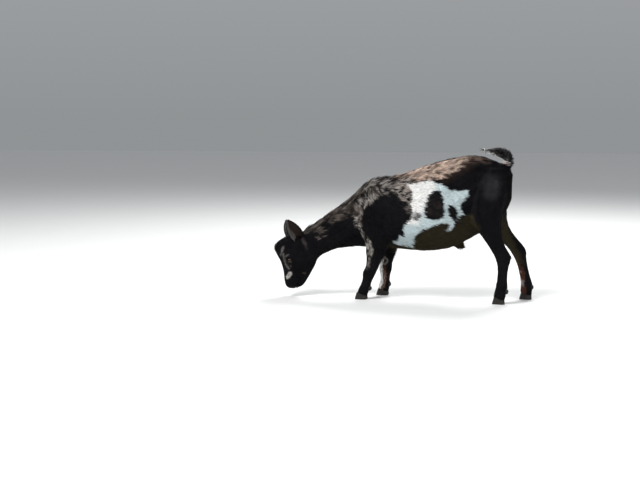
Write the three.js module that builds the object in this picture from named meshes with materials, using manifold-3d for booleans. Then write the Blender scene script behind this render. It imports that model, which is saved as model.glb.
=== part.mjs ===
// A young dwarf goat grazing, life-size: a still model with its legs a little apart and its head near the floor.
// Millimetres, +Z up. The head points towards -X and the animal's left side is -Y. The soles stand on Z = 0.
// The body is lofted whole, joined, and then parted by thin cuts into the pieces that a person would name.
import * as THREE from "three";
import { mergeVertices } from "three/addons/utils/BufferGeometryUtils.js";
import Module from "manifold-3d";

const wasm = await Module();
wasm.setup();

// ---- Driving sizes ------------------------------------------------------------------------------------------
const CUT = 0.4; // gap left between two pieces
const TRUNK_SIDES = 22; // facets round the trunk and neck
const HEAD_SIDES = 22;
const LEG_SIDES = 12;
const EAR_SIDES = 12;
const EYE_RADIUS = 11.5;
const EAR_LENGTH = 107;
const EAR_WIDTH = 44;
const EAR_THICKNESS = 3.4;
const HOOF_TOE_HEIGHT = 25; // from the sole to the front of the coronet
const HOOF_HEEL_HEIGHT = 13;
const HOOF_LENGTH = 41;
const CLAW_WIDTH = 15; // one of the two claws of a hoof
const CLAW_GAP = 2.4; // between the two claws
const HEAD_TURN = THREE.MathUtils.degToRad(18); // the head looks this far to the animal's left
const HEAD_PIVOT = new THREE.Vector3(-395, -20, 0); // the head turns about this upright line

const LEFT = -1;
const RIGHT = 1;

// ---- Finishes -----------------------------------------------------------------------------------------------
const blackCoat = new THREE.MeshStandardMaterial({ color: 0x1b1716, roughness: 0.8, metalness: 0 });
const brownCoat = new THREE.MeshStandardMaterial({ color: 0x3a2a20, roughness: 0.8, metalness: 0 });
const earSkin = new THREE.MeshStandardMaterial({ color: 0x2c211d, roughness: 0.75, metalness: 0 });
const eyeGloss = new THREE.MeshStandardMaterial({ color: 0x6b4a1e, roughness: 0.08, metalness: 0 });
const hoofHorn = new THREE.MeshStandardMaterial({ color: 0x2a241f, roughness: 0.5, metalness: 0 });

// ---- Helpers ------------------------------------------------------------------------------------------------
// The value of one field between rows, on a smooth curve through them. t runs from 0 to rows.length - 1.
function along(rows, field, t) {
  const i = Math.min(Math.floor(t), rows.length - 2);
  const f = t - i;
  const at = (k) => rows[Math.min(Math.max(k, 0), rows.length - 1)][field];
  const [p0, p1, p2, p3] = [at(i - 1), at(i), at(i + 1), at(i + 2)];
  const m1 = (p2 - p0) / 2;
  const m2 = (p3 - p1) / 2;
  const f2 = f * f;
  const f3 = f2 * f;
  return (2 * f3 - 3 * f2 + 1) * p1 + (f3 - 2 * f2 + f) * m1 + (3 * f2 - 2 * f3) * p2 + (f3 - f2) * m2;
}

// A row with every field of the rows at t.
function rowAt(rows, t) {
  const row = {};
  for (const field of Object.keys(rows[0])) {
    row[field] = along(rows, field, t);
  }
  return row;
}

// A closed geometry through rings of equally many points. Each end is closed by a fan, or for a thin bent
// sheet by a strip between the two faces of the ring.
function loft(rings, sheet = false) {
  const sides = rings[0].length;
  const points = rings.flat();
  const faces = [];
  for (let i = 0; i + 1 < rings.length; i++) {
    for (let k = 0; k < sides; k++) {
      const next = (k + 1) % sides;
      const [a, b] = [i * sides + k, i * sides + next];
      const [c, d] = [a + sides, b + sides];
      // the shorter diagonal keeps the facets even
      if (points[a].distanceToSquared(points[d]) < points[b].distanceToSquared(points[c])) {
        faces.push(a, b, d, a, d, c);
      } else {
        faces.push(a, b, c, b, d, c);
      }
    }
  }
  for (const [ring, first, flip] of [
    [rings[0], 0, true],
    [rings.at(-1), (rings.length - 1) * sides, false],
  ]) {
    if (sheet) {
      for (let k = 0; k + 1 < sides / 2; k++) {
        const [a, b, c, d] = [k, k + 1, sides - 2 - k, sides - 1 - k].map((n) => first + n);
        faces.push(...(flip ? [a, c, b, a, d, c] : [a, b, c, a, c, d]));
      }
      continue;
    }
    points.push(ring.reduce((sum, p) => sum.add(p), new THREE.Vector3()).divideScalar(sides));
    for (let k = 0; k < sides; k++) {
      const next = (k + 1) % sides;
      faces.push(points.length - 1, first + (flip ? next : k), first + (flip ? k : next));
    }
  }
  const geometry = new THREE.BufferGeometry().setFromPoints(points);
  geometry.setIndex(faces);
  return geometry;
}

// A manifold solid from a closed geometry, turned the right way out.
function solid(geometry) {
  const bare = new THREE.BufferGeometry().setAttribute("position", geometry.getAttribute("position"));
  bare.setIndex(geometry.index);
  const merged = mergeVertices(bare, 1e-4);
  const vertProperties = merged.getAttribute("position").array;
  const triVerts = new Uint32Array(merged.index.array);
  const make = () => new wasm.Manifold(new wasm.Mesh({ numProp: 3, vertProperties, triVerts }));
  const made = make();
  if (made.volume() > 0) {
    return made;
  }
  for (let i = 0; i < triVerts.length; i += 3) {
    [triVerts[i + 1], triVerts[i + 2]] = [triVerts[i + 2], triVerts[i + 1]];
  }
  return make();
}

// The named mesh of a finished solid. Crumbs left by the cuts are dropped.
function piece(name, made, material) {
  const body = made.decompose().sort((a, b) => b.volume() - a.volume())[0];
  const { numProp, numVert, vertProperties, triVerts } = body.getMesh();
  const positions = new Float32Array(numVert * 3);
  for (let i = 0; i < numVert; i++) {
    positions.set(vertProperties.subarray(i * numProp, i * numProp + 3), i * 3);
  }
  const geometry = new THREE.BufferGeometry();
  geometry.setAttribute("position", new THREE.BufferAttribute(positions, 3));
  geometry.setIndex(new THREE.BufferAttribute(new Uint32Array(triVerts), 1));
  geometry.computeVertexNormals();
  const mesh = new THREE.Mesh(geometry, material);
  mesh.name = name;
  return mesh;
}

// Signed power, for superellipses: 1 is round, less is squarer.
const bent = (value, power) => Math.sign(value) * Math.abs(value) ** power;

// Moves the points of a ring in or out from its middle by the swells and hollows near them.
function sculpt(ring, bumps) {
  const middle = ring.reduce((sum, p) => sum.add(p), new THREE.Vector3()).divideScalar(ring.length);
  for (const p of ring) {
    let rise = 0;
    for (const { at, reach, height } of bumps) {
      rise += height * Math.exp(-p.distanceToSquared(at) / (reach * reach));
    }
    p.addScaledVector(p.clone().sub(middle).normalize(), rise);
  }
  return ring;
}

// One ring between an upper and a lower point of the middle plane. wide is where it is broadest, from the top.
function bodyRing(row, sides) {
  const upper = new THREE.Vector3(row.topX, row.y, row.topZ);
  const lower = new THREE.Vector3(row.lowX, row.y, row.lowZ);
  const up = upper.clone().sub(lower);
  const height = up.length();
  up.normalize();
  const broadest = upper.clone().addScaledVector(up, -height * row.wide);
  const ring = [];
  for (let k = 0; k < sides; k++) {
    const angle = (2 * Math.PI * k) / sides;
    const c = Math.cos(angle);
    const rise = c > 0 ? row.wide * bent(c, row.crown) : (1 - row.wide) * bent(c, row.keel);
    const across = row.half * bent(Math.sin(angle), c > 0 ? row.crown : row.keel);
    const p = broadest.clone().addScaledVector(up, height * rise);
    p.y += across;
    ring.push(p);
  }
  return ring;
}

// ---- Trunk and neck -----------------------------------------------------------------------------------------
// One row for each cross-section from the rump to the poll: the point on the back, the point under it on the
// belly or throat, the middle's y, the half width, where it is broadest, and how round its top and bottom are.
const BODY = [
  { topX: 259, topZ: 398, lowX: 259, lowZ: 332, y: 0, half: 14, wide: 0.5, crown: 1, keel: 1 },
  { topX: 255, topZ: 414, lowX: 254, lowZ: 312, y: 0, half: 34, wide: 0.5, crown: 1, keel: 1 },
  { topX: 240, topZ: 430, lowX: 238, lowZ: 280, y: 0, half: 50, wide: 0.46, crown: 0.95, keel: 1 },
  { topX: 205, topZ: 447, lowX: 204, lowZ: 238, y: 0, half: 62, wide: 0.44, crown: 0.92, keel: 1 },
  { topX: 150, topZ: 463, lowX: 150, lowZ: 208, y: 0, half: 72, wide: 0.46, crown: 0.9, keel: 1 },
  { topX: 92, topZ: 459, lowX: 92, lowZ: 173, y: 0, half: 86, wide: 0.55, crown: 0.96, keel: 0.95 },
  { topX: 32, topZ: 446, lowX: 32, lowZ: 157, y: 0, half: 96, wide: 0.6, crown: 1, keel: 0.92 },
  { topX: -30, topZ: 425, lowX: -30, lowZ: 153, y: 0, half: 96, wide: 0.6, crown: 1, keel: 0.94 },
  { topX: -90, topZ: 404, lowX: -90, lowZ: 157, y: 0, half: 87, wide: 0.57, crown: 1.02, keel: 1 },
  { topX: -140, topZ: 395, lowX: -140, lowZ: 160, y: 0, half: 76, wide: 0.56, crown: 1.05, keel: 1 },
  { topX: -180, topZ: 388, lowX: -182, lowZ: 160, y: 0, half: 68, wide: 0.56, crown: 1.08, keel: 1 },
  { topX: -214, topZ: 370, lowX: -212, lowZ: 161, y: -1, half: 60, wide: 0.55, crown: 1.05, keel: 1 },
  { topX: -252, topZ: 332, lowX: -232, lowZ: 162, y: -4, half: 53, wide: 0.52, crown: 1, keel: 1 },
  { topX: -297, topZ: 296, lowX: -264, lowZ: 159, y: -10, half: 48, wide: 0.5, crown: 1, keel: 0.98 },
  { topX: -338, topZ: 268, lowX: -303, lowZ: 153, y: -16, half: 43, wide: 0.48, crown: 1, keel: 0.98 },
  { topX: -374, topZ: 241, lowX: -338, lowZ: 137, y: -21, half: 39, wide: 0.48, crown: 1, keel: 0.98 },
  { topX: -404, topZ: 222, lowX: -362, lowZ: 121, y: -26, half: 36, wide: 0.48, crown: 1, keel: 1 },
  { topX: -424, topZ: 196, lowX: -388, lowZ: 130, y: -30, half: 24, wide: 0.5, crown: 1, keel: 1 },
];
const BODY_STEPS = 27;

// Where the flesh swells or sinks away from the plain lofts: the hollow of the flank, the ribs' spring, the
// hip and pin bones, and the crest of the shoulder blades.
function bodyBumps() {
  const bumps = [];
  for (const side of [LEFT, RIGHT]) {
    bumps.push(
      { at: new THREE.Vector3(100, side * 74, 385), reach: 46, height: -7 }, // hollow before the hip
      { at: new THREE.Vector3(146, side * 60, 425), reach: 24, height: 4 }, // hip bone
      { at: new THREE.Vector3(20, side * 92, 270), reach: 80, height: 3 }, // spring of the belly
      { at: new THREE.Vector3(-176, side * 44, 350), reach: 34, height: 4 }, // shoulder blade
      { at: new THREE.Vector3(-108, side * 78, 330), reach: 36, height: -4 }, // behind the shoulder
      { at: new THREE.Vector3(-262, side * 46, 240), reach: 34, height: -3 }, // groove before the shoulder
    );
  }
  return bumps;
}

function torso() {
  const bumps = bodyBumps();
  const rings = [];
  for (let i = 0; i <= BODY_STEPS; i++) {
    const row = rowAt(BODY, (i / BODY_STEPS) * (BODY.length - 1));
    rings.push(sculpt(bodyRing(row, TRUNK_SIDES), bumps));
  }
  return solid(loft(rings));
}

// The small tuft of the sheath under the belly.
function sheath() {
  const drop = new THREE.SphereGeometry(1, 8, 6);
  drop.scale(16, 9, 11);
  drop.rotateY(THREE.MathUtils.degToRad(-12));
  drop.translate(93, 0, 170);
  return solid(drop);
}

// ---- Head ---------------------------------------------------------------------------------------------------
// Slices down the hanging head, from the nape to the lips: the point on the forehead or nose, the point on the
// nape, throat or jaw, the half width, where it is broadest from the forehead, and its roundness.
const HEAD = [
  { topX: -450, topZ: 206, lowX: -404, lowZ: 212, y: 0, half: 16, wide: 0.5, crown: 1, keel: 1 },
  { topX: -470, topZ: 194, lowX: -384, lowZ: 196, y: 0, half: 30, wide: 0.5, crown: 0.95, keel: 1 },
  { topX: -490, topZ: 180, lowX: -369, lowZ: 176, y: 0, half: 36, wide: 0.44, crown: 0.85, keel: 1 },
  { topX: -501, topZ: 164, lowX: -359, lowZ: 154, y: 0, half: 38, wide: 0.4, crown: 0.78, keel: 1 },
  { topX: -501, topZ: 148, lowX: -356, lowZ: 134, y: 0, half: 40, wide: 0.38, crown: 0.72, keel: 1.02 },
  { topX: -493, topZ: 132, lowX: -358, lowZ: 116, y: 0, half: 42, wide: 0.36, crown: 0.72, keel: 1.08 },
  { topX: -484, topZ: 115, lowX: -366, lowZ: 101, y: 0, half: 39, wide: 0.38, crown: 0.78, keel: 1.05 },
  { topX: -478, topZ: 97, lowX: -376, lowZ: 87, y: 0, half: 33, wide: 0.4, crown: 0.84, keel: 1 },
  { topX: -474, topZ: 80, lowX: -384, lowZ: 73, y: 0, half: 28, wide: 0.42, crown: 0.88, keel: 0.96 },
  { topX: -472, topZ: 64, lowX: -391, lowZ: 61, y: 0, half: 25, wide: 0.42, crown: 0.88, keel: 0.92 },
  { topX: -471, topZ: 51, lowX: -399, lowZ: 50, y: 0, half: 24, wide: 0.42, crown: 0.86, keel: 0.9 },
  { topX: -468, topZ: 40, lowX: -407, lowZ: 41, y: 0, half: 23.5, wide: 0.42, crown: 0.84, keel: 0.9 },
  { topX: -463, topZ: 32, lowX: -417, lowZ: 32, y: 0, half: 20, wide: 0.44, crown: 0.86, keel: 0.9 },
  { topX: -455, topZ: 26.5, lowX: -429, lowZ: 27, y: 0, half: 11, wide: 0.5, crown: 0.9, keel: 0.9 },
];
const HEAD_STEPS = 22;
const EYE = new THREE.Vector3(-456, 34, 120.5); // middle of the eyeball on a head that looks straight on
const NOSTRIL = new THREE.Vector3(-465, 13, 39);

function headBumps() {
  const bumps = [];
  for (const side of [LEFT, RIGHT]) {
    const at = (x, y, z) => new THREE.Vector3(x, side * y, z);
    bumps.push(
      { at: at(-466, 42, 134), reach: 15, height: 5.5 }, // brow
      { at: at(-444, 42, 108), reach: 13, height: 3.5 }, // cheekbone under the eye
      { at: at(-410, 36, 122), reach: 24, height: 3.5 }, // chewing muscle
      { at: at(-458, 27, 89), reach: 13, height: -2.5 }, // hollow before the eye
      { at: at(-435, 26, 86), reach: 14, height: -1.5 }, // between cheek and jaw
      { at: at(-470, 20, 37), reach: 8, height: 2 }, // wing of the nostril
      { at: at(-500, 20, 172), reach: 15, height: 4 }, // knob of the brow where a horn would stand
    );
  }
  bumps.push(
    { at: new THREE.Vector3(-512, 0, 160), reach: 18, height: 3 }, // forelock
    { at: new THREE.Vector3(-408, 0, 40), reach: 12, height: 3 }, // chin
  );
  return bumps;
}

// Turns something made on a straight head to where the head looks.
function turned(made) {
  const cos = Math.cos(HEAD_TURN);
  const sin = Math.sin(HEAD_TURN);
  const { x, y } = HEAD_PIVOT;
  // columns of: move to the pivot's line, turn about it, with the straight head in the plane Y = 0
  return made.transform([cos, sin, 0, 0, -sin, cos, 0, 0, 0, 0, 1, 0, x - x * cos, y - x * sin, 0, 1]);
}

function skull() {
  const bumps = headBumps();
  const rings = [];
  for (let i = 0; i <= HEAD_STEPS; i++) {
    const row = rowAt(HEAD, (i / HEAD_STEPS) * (HEAD.length - 1));
    rings.push(sculpt(bodyRing(row, HEAD_SIDES), bumps));
  }
  return solid(loft(rings));
}

function ball(radius, centre, across = 12, down = 8) {
  const geometry = new THREE.SphereGeometry(radius, across, down);
  geometry.translate(centre.x, centre.y, centre.z);
  return solid(geometry);
}

// The slit between the lips: a thin wedge round the muzzle from corner to corner.
function mouthSlit() {
  const outline = new THREE.Shape();
  outline.moveTo(-424, 63);
  outline.lineTo(-428, 44);
  outline.lineTo(-436, 8);
  outline.lineTo(-438.5, 8);
  outline.lineTo(-429.5, 44);
  outline.closePath();
  const slab = new THREE.ExtrudeGeometry(outline, { depth: 80, bevelEnabled: false });
  slab.rotateX(Math.PI / 2);
  slab.translate(0, 40, 0);
  const core = new THREE.CapsuleGeometry(15, 40, 4, 10);
  core.rotateX(Math.PI / 2);
  core.translate(-431, 0, 58);
  return solid(slab).subtract(solid(core));
}

// ---- Ears ---------------------------------------------------------------------------------------------------
// Half the ear's width, as a share of the widest, and the depth of its cup, from base to tip.
const EAR = [
  { s: 0, half: 0.52, cup: 0.5 },
  { s: 0.14, half: 0.66, cup: 0.52 },
  { s: 0.3, half: 0.88, cup: 0.42 },
  { s: 0.48, half: 1, cup: 0.3 },
  { s: 0.66, half: 0.93, cup: 0.2 },
  { s: 0.82, half: 0.7, cup: 0.12 },
  { s: 0.94, half: 0.38, cup: 0.06 },
  { s: 1, half: 0.1, cup: 0.02 },
];
const EAR_STEPS = 8;

// An ear that stands along +Z with the hollow towards +X, grown all round by some clearance. Each ring runs
// out along the back of a bent sheet and returns along its hollow face.
function earShape(grow = 0) {
  const rings = [];
  for (let i = 0; i <= EAR_STEPS; i++) {
    const row = rowAt(EAR, (i / EAR_STEPS) * (EAR.length - 1));
    const half = (EAR_WIDTH / 2) * row.half;
    const depth = EAR_WIDTH * row.cup;
    const thick = EAR_THICKNESS * (1 - 0.35 * row.s);
    const endwise = i === 0 ? -grow : i === EAR_STEPS ? grow : 0;
    const arcs = EAR_SIDES / 2;
    const ring = [];
    for (let k = 0; k < EAR_SIDES; k++) {
      const back = k < arcs;
      const across = Math.cos(Math.PI * (back ? k / (arcs - 1) : (EAR_SIDES - 1 - k) / (arcs - 1)));
      const tangent = new THREE.Vector2(2 * depth * across, half).normalize();
      const wall = (thick / 2) * (0.3 + 0.7 * Math.sqrt(Math.max(0, 1 - across * across))) + grow;
      const rim = Math.abs(across) > 0.999 ? grow * Math.sign(across) : 0;
      const out = (back ? -1 : 1) * wall;
      ring.push(
        new THREE.Vector3(
          depth * (across * across - 1) + tangent.x * rim + tangent.y * out,
          half * across + tangent.y * rim - tangent.x * out,
          EAR_LENGTH * row.s + endwise,
        ),
      );
    }
    rings.push(ring);
  }
  return loft(rings, true);
}

// How each ear stands on a straight head: the middle of its base, where its tip points and where it opens.
const EAR_POSES = {
  left: { base: [-407, -31, 164], tip: [-0.52, -0.24, 0.83], opening: [-0.3, -0.95, -0.1] },
  right: { base: [-431, 30, 155], tip: [-0.25, 0.58, 0.775], opening: [-0.35, 0.93, -0.1] },
};

// An ear in place on a straight head. Its own X axis is where it opens and its own Z axis runs to the tip.
function earSolid(label, grow = 0) {
  const { base, tip, opening } = EAR_POSES[label];
  const along = new THREE.Vector3(...tip).normalize();
  const open = new THREE.Vector3(...opening);
  open.addScaledVector(along, -open.dot(along)).normalize();
  const placed = new THREE.Matrix4().makeBasis(open, new THREE.Vector3().crossVectors(along, open), along);
  placed.setPosition(...base);
  return solid(earShape(grow).applyMatrix4(placed));
}

// ---- Tail ---------------------------------------------------------------------------------------------------
// Rings along the raised tail, from inside the rump to the tip that curls forward over it.
const TAIL = [
  { x: 226, z: 410, radius: 14, side: 14 },
  { x: 238, z: 430, radius: 15, side: 14 },
  { x: 243, z: 448, radius: 16, side: 15 },
  { x: 235, z: 462, radius: 17, side: 16 },
  { x: 217, z: 469, radius: 15, side: 15 },
  { x: 196, z: 473, radius: 10.5, side: 12 },
  { x: 170, z: 478, radius: 2, side: 4 },
];

function tailSolid() {
  const path = new THREE.CatmullRomCurve3(TAIL.map((r) => new THREE.Vector3(r.x, 0, r.z)));
  const steps = 14;
  const rings = [];
  for (let i = 0; i <= steps; i++) {
    const t = i / steps;
    const middle = path.getPoint(t);
    const ahead = path.getTangent(t);
    const outward = new THREE.Vector3(0, 1, 0).cross(ahead).normalize();
    const { radius, side } = rowAt(TAIL, t * (TAIL.length - 1));
    const ring = [];
    for (let k = 0; k < LEG_SIDES; k++) {
      const angle = (2 * Math.PI * k) / LEG_SIDES;
      const p = middle.clone().addScaledVector(outward, radius * Math.cos(angle));
      p.y += side * Math.sin(angle);
      ring.push(p);
    }
    rings.push(ring);
  }
  return solid(loft(rings));
}

// ---- Legs ---------------------------------------------------------------------------------------------------
// Level slices of each leg, from inside the trunk down to the coronet: height, front and back edges, the
// middle's distance from the body's middle plane, and half the width across.
const LEGS = {
  foreleg_left: [
    { z: 350, front: -196, back: -134, y: 34, half: 16 },
    { z: 305, front: -220, back: -116, y: 42, half: 25 },
    { z: 255, front: -232, back: -108, y: 45, half: 29 },
    { z: 212, front: -216, back: -112, y: 47, half: 28 },
    { z: 182, front: -204, back: -120, y: 49, half: 25 },
    { z: 152, front: -199, back: -134, y: 50, half: 21 },
    { z: 125, front: -197, back: -145, y: 50, half: 18 },
    { z: 104, front: -200, back: -154, y: 50, half: 17 },
    { z: 88, front: -208, back: -161, y: 50, half: 17.5 },
    { z: 74, front: -208, back: -168, y: 50, half: 15 },
    { z: 56, front: -211, back: -177, y: 50, half: 12.5 },
    { z: 42, front: -217, back: -180, y: 50, half: 14.5 },
    { z: 30, front: -221, back: -186, y: 50, half: 14 },
    { z: 12, front: -226, back: -193, y: 50, half: 17 },
  ],
  foreleg_right: [
    { z: 350, front: -186, back: -126, y: 34, half: 16 },
    { z: 305, front: -206, back: -108, y: 42, half: 25 },
    { z: 255, front: -216, back: -98, y: 45, half: 29 },
    { z: 212, front: -198, back: -100, y: 47, half: 28 },
    { z: 182, front: -184, back: -106, y: 49, half: 25 },
    { z: 152, front: -174, back: -112, y: 50, half: 21 },
    { z: 125, front: -170, back: -119, y: 50, half: 18 },
    { z: 104, front: -169, back: -124, y: 50, half: 17 },
    { z: 88, front: -171, back: -125, y: 50, half: 17.5 },
    { z: 74, front: -168, back: -129, y: 50, half: 15 },
    { z: 56, front: -166, back: -133, y: 50, half: 12.5 },
    { z: 42, front: -169, back: -132, y: 50, half: 14.5 },
    { z: 30, front: -170, back: -135, y: 50, half: 14 },
    { z: 12, front: -172, back: -139, y: 50, half: 17 },
  ],
  hindleg_left: [
    { z: 425, front: 168, back: 228, y: 30, half: 20 },
    { z: 385, front: 140, back: 248, y: 40, half: 33 },
    { z: 335, front: 124, back: 248, y: 46, half: 38 },
    { z: 290, front: 124, back: 237, y: 50, half: 37 },
    { z: 252, front: 138, back: 232, y: 54, half: 32 },
    { z: 222, front: 158, back: 233, y: 56, half: 27 },
    { z: 195, front: 178, back: 239, y: 57, half: 22 },
    { z: 172, front: 194, back: 250, y: 57, half: 18 },
    { z: 152, front: 206, back: 263, y: 57, half: 17 },
    { z: 134, front: 214, back: 261, y: 57, half: 16 },
    { z: 112, front: 219, back: 254, y: 57, half: 14 },
    { z: 78, front: 218, back: 252, y: 57, half: 12.5 },
    { z: 46, front: 213, back: 253, y: 57, half: 15 },
    { z: 30, front: 210, back: 247, y: 57, half: 14 },
    { z: 12, front: 209, back: 244, y: 57, half: 17 },
  ],
  hindleg_right: [
    { z: 425, front: 172, back: 232, y: 30, half: 20 },
    { z: 385, front: 144, back: 254, y: 40, half: 33 },
    { z: 335, front: 130, back: 255, y: 46, half: 38 },
    { z: 290, front: 138, back: 244, y: 50, half: 37 },
    { z: 252, front: 158, back: 246, y: 53, half: 32 },
    { z: 222, front: 184, back: 257, y: 55, half: 26 },
    { z: 195, front: 212, back: 277, y: 56, half: 21 },
    { z: 172, front: 236, back: 298, y: 57, half: 18 },
    { z: 154, front: 252, back: 306, y: 57, half: 17 },
    { z: 134, front: 264, back: 307, y: 57, half: 16 },
    { z: 112, front: 275, back: 310, y: 57, half: 14 },
    { z: 78, front: 284, back: 318, y: 57, half: 12.5 },
    { z: 46, front: 288, back: 328, y: 57, half: 15 },
    { z: 30, front: 288, back: 325, y: 57, half: 14 },
    { z: 12, front: 290, back: 324, y: 57, half: 17 },
  ],
};
const LEG_STEPS = 19;

// Hoof places follow the lowest slice of each leg, a little ahead of it.
const HOOF_AHEAD = 2;
const hoofOf = (rows) => {
  const { front, back, y } = rows.at(-1);
  return { x: (front + back) / 2 - HOOF_AHEAD, y };
};

const sideOf = (name) => (name.endsWith("left") ? LEFT : RIGHT);

function legSolid(name) {
  const rows = LEGS[name];
  const rings = [];
  for (let i = 0; i <= LEG_STEPS; i++) {
    const row = rowAt(rows, (i / LEG_STEPS) * (rows.length - 1));
    const ring = [];
    for (let k = 0; k < LEG_SIDES; k++) {
      const angle = (2 * Math.PI * k) / LEG_SIDES;
      ring.push(
        new THREE.Vector3(
          (row.front + row.back) / 2 + ((row.back - row.front) / 2) * Math.cos(angle),
          sideOf(name) * row.y + row.half * Math.sin(angle),
          row.z,
        ),
      );
    }
    rings.push(ring);
  }
  return solid(loft(rings));
}

// ---- Hooves -------------------------------------------------------------------------------------------------
// One claw, its sole on Z = 0, its inner wall on Y = 0 and its toe towards -X.
function clawShape() {
  const points = 12;
  const levels = [
    { share: 0, reach: 1, width: 1 },
    { share: 0.45, reach: 0.86, width: 1 },
    { share: 1, reach: 0.62, width: 0.88 },
  ];
  const rings = levels.map(({ share, reach, width }) => {
    const ring = [];
    for (let k = 0; k < points; k++) {
      const angle = (2 * Math.PI * k) / points;
      const ahead = -Math.cos(angle); // -1 at the toe
      const side = Math.sin(angle);
      const x = ((HOOF_LENGTH / 2) * ahead * (ahead < 0 ? reach : 0.96 - 0.04 * share)) + 0;
      const taper = ahead < 0 ? 1 - 0.45 * ahead * ahead : 1 - 0.15 * ahead * ahead;
      const y = (CLAW_WIDTH / 2) * (1 + bent(side, 0.7) * width * taper);
      const rise = THREE.MathUtils.lerp(HOOF_TOE_HEIGHT, HOOF_HEEL_HEIGHT, (ahead + 1) / 2);
      ring.push(new THREE.Vector3(x, y, share * rise));
    }
    return ring;
  });
  return loft(rings);
}

// The plane of the coronet, as [normal, offset], above a hoof at x. lift moves it up.
function coronet(x, lift) {
  const slope = (HOOF_TOE_HEIGHT - HOOF_HEEL_HEIGHT) / (0.87 * HOOF_LENGTH);
  const normal = new THREE.Vector3(slope, 0, 1).normalize();
  const middle = new THREE.Vector3(x, 0, (HOOF_TOE_HEIGHT + HOOF_HEEL_HEIGHT) / 2 - 0.3 + lift);
  return [normal.toArray(), normal.dot(middle)];
}

// The two claws of a leg, inner and outer.
function claws(name) {
  const { x, y } = hoofOf(LEGS[name]);
  const side = sideOf(name);
  const made = {};
  for (const [which, out] of [["inner", -1], ["outer", 1]]) {
    const shape = clawShape();
    if (side * out < 0) {
      shape.scale(1, -1, 1);
    }
    shape.translate(x, side * y + (side * out * CLAW_GAP) / 2, 0);
    const [normal, offset] = coronet(x, -CUT);
    made[which] = solid(shape).trimByPlane(normal.map((n) => -n), -offset);
  }
  return made;
}

// The two dewclaws behind the fetlock, grown all round by some clearance.
function dewclaws(name, grow = 0) {
  const rows = LEGS[name];
  const fetlock = rows.at(-3);
  const side = sideOf(name);
  const made = {};
  for (const [which, out] of [["inner", -1], ["outer", 1]]) {
    const nub = new THREE.SphereGeometry(1, 8, 5);
    nub.scale(5.2 + grow, 4 + grow, 7.5 + grow);
    nub.translate(fetlock.back - 3, side * (fetlock.y + out * 6.5), fetlock.z - 7);
    made[which] = solid(nub);
  }
  return made;
}

// ---- Parting cuts -------------------------------------------------------------------------------------------
// The region that a leg takes from the whole body, seen from the side, pulled in all round by some gap.
const FORE_REGION = { front: -233, back: -92, top: 322, foot: -5 };
const HIND_REGION = { front: 116, back: 345, top: 402, foot: -5 };

function legRegion(name, pull) {
  const fore = name.startsWith("fore");
  const { front, back, top, foot } = fore ? FORE_REGION : HIND_REGION;
  const inner = (fore ? 20 : 18) + pull;
  const outer = 200;
  const outline = new THREE.Shape();
  const [left, right, high] = [front + pull, back - pull, top - pull];
  const middle = fore ? (left + right) / 2 : 195;
  const shoulder = fore ? 235 : 290;
  outline.moveTo(left, shoulder);
  outline.quadraticCurveTo(left, high, middle, high);
  if (fore) {
    outline.quadraticCurveTo(right, high, right, shoulder);
  } else {
    outline.quadraticCurveTo(282, high, right, 330);
  }
  outline.lineTo(right, foot);
  outline.lineTo(fore ? left : 180, foot);
  if (!fore) {
    outline.lineTo(150, 190);
  }
  outline.closePath();
  const slab = new THREE.ExtrudeGeometry(outline, { depth: outer - inner, bevelEnabled: false, curveSegments: 5 });
  slab.rotateX(Math.PI / 2); // the outline's plane becomes XZ and the depth runs to -Y
  slab.translate(0, sideOf(name) === LEFT ? -inner : outer, 0);
  return solid(slab);
}

// A plane through two points of the middle plane, with its normal towards the tail, moved back by shift.
function crossPlane([upX, upZ], [downX, downZ], turn, shift) {
  const along = new THREE.Vector3(upX - downX, 0, upZ - downZ).normalize();
  const normal = new THREE.Vector3(along.z, 0, -along.x);
  normal.applyAxisAngle(new THREE.Vector3(0, 0, 1), turn);
  const through = new THREE.Vector3((upX + downX) / 2, 0, (upZ + downZ) / 2);
  return [normal.toArray(), normal.dot(through) + shift];
}

const reversed = ([normal, offset]) => [normal.map((n) => -n), -offset];

// ---- Assembly -----------------------------------------------------------------------------------------------
const legNames = Object.keys(LEGS);
const headSide = (shift) => crossPlane([-392, 232], [-352, 116], HEAD_TURN * 0.6, shift);
const neckSide = (shift) => crossPlane([-222, 366], [-243, 161], 0, shift);
const tailSide = (shift) => {
  const normal = new THREE.Vector3(0.3, 0, 0.95).normalize();
  return [normal.toArray(), normal.dot(new THREE.Vector3(245, 0, 437)) + shift];
};

const eyeAt = (side) => new THREE.Vector3(EYE.x, side * EYE.y, EYE.z);

let head = skull();
for (const side of [LEFT, RIGHT]) {
  const dent = new THREE.SphereGeometry(1, 7, 5);
  dent.scale(5.5, 3, 5);
  dent.rotateY(THREE.MathUtils.degToRad(35));
  dent.translate(NOSTRIL.x - 3.5, side * (NOSTRIL.y + 1), NOSTRIL.z);
  head = head.subtract(solid(dent));
}
head = turned(head.subtract(mouthSlit()));

let whole = torso().add(sheath()).add(head).add(tailSolid());
for (const name of legNames) {
  whole = whole.add(legSolid(name));
}

const goat = new THREE.Group();
const eyes = {};
const ears = {};
for (const [label, side] of [["left", LEFT], ["right", RIGHT]]) {
  eyes[label] = turned(ball(EYE_RADIUS, eyeAt(side)));
  ears[label] = turned(earSolid(label));
  whole = whole.subtract(turned(ball(EYE_RADIUS + CUT, eyeAt(side))));
  whole = whole.subtract(turned(earSolid(label, CUT)));
}

const headPiece = whole.trimByPlane(...reversed(headSide(-CUT / 2)));
const behindHead = whole.trimByPlane(...headSide(CUT / 2));
const neckPiece = behindHead.trimByPlane(...reversed(neckSide(-CUT / 2)));
let trunk = behindHead.trimByPlane(...neckSide(CUT / 2));
const tailPiece = trunk.trimByPlane(...tailSide(CUT / 2));
trunk = trunk.trimByPlane(...reversed(tailSide(-CUT / 2)));

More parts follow.
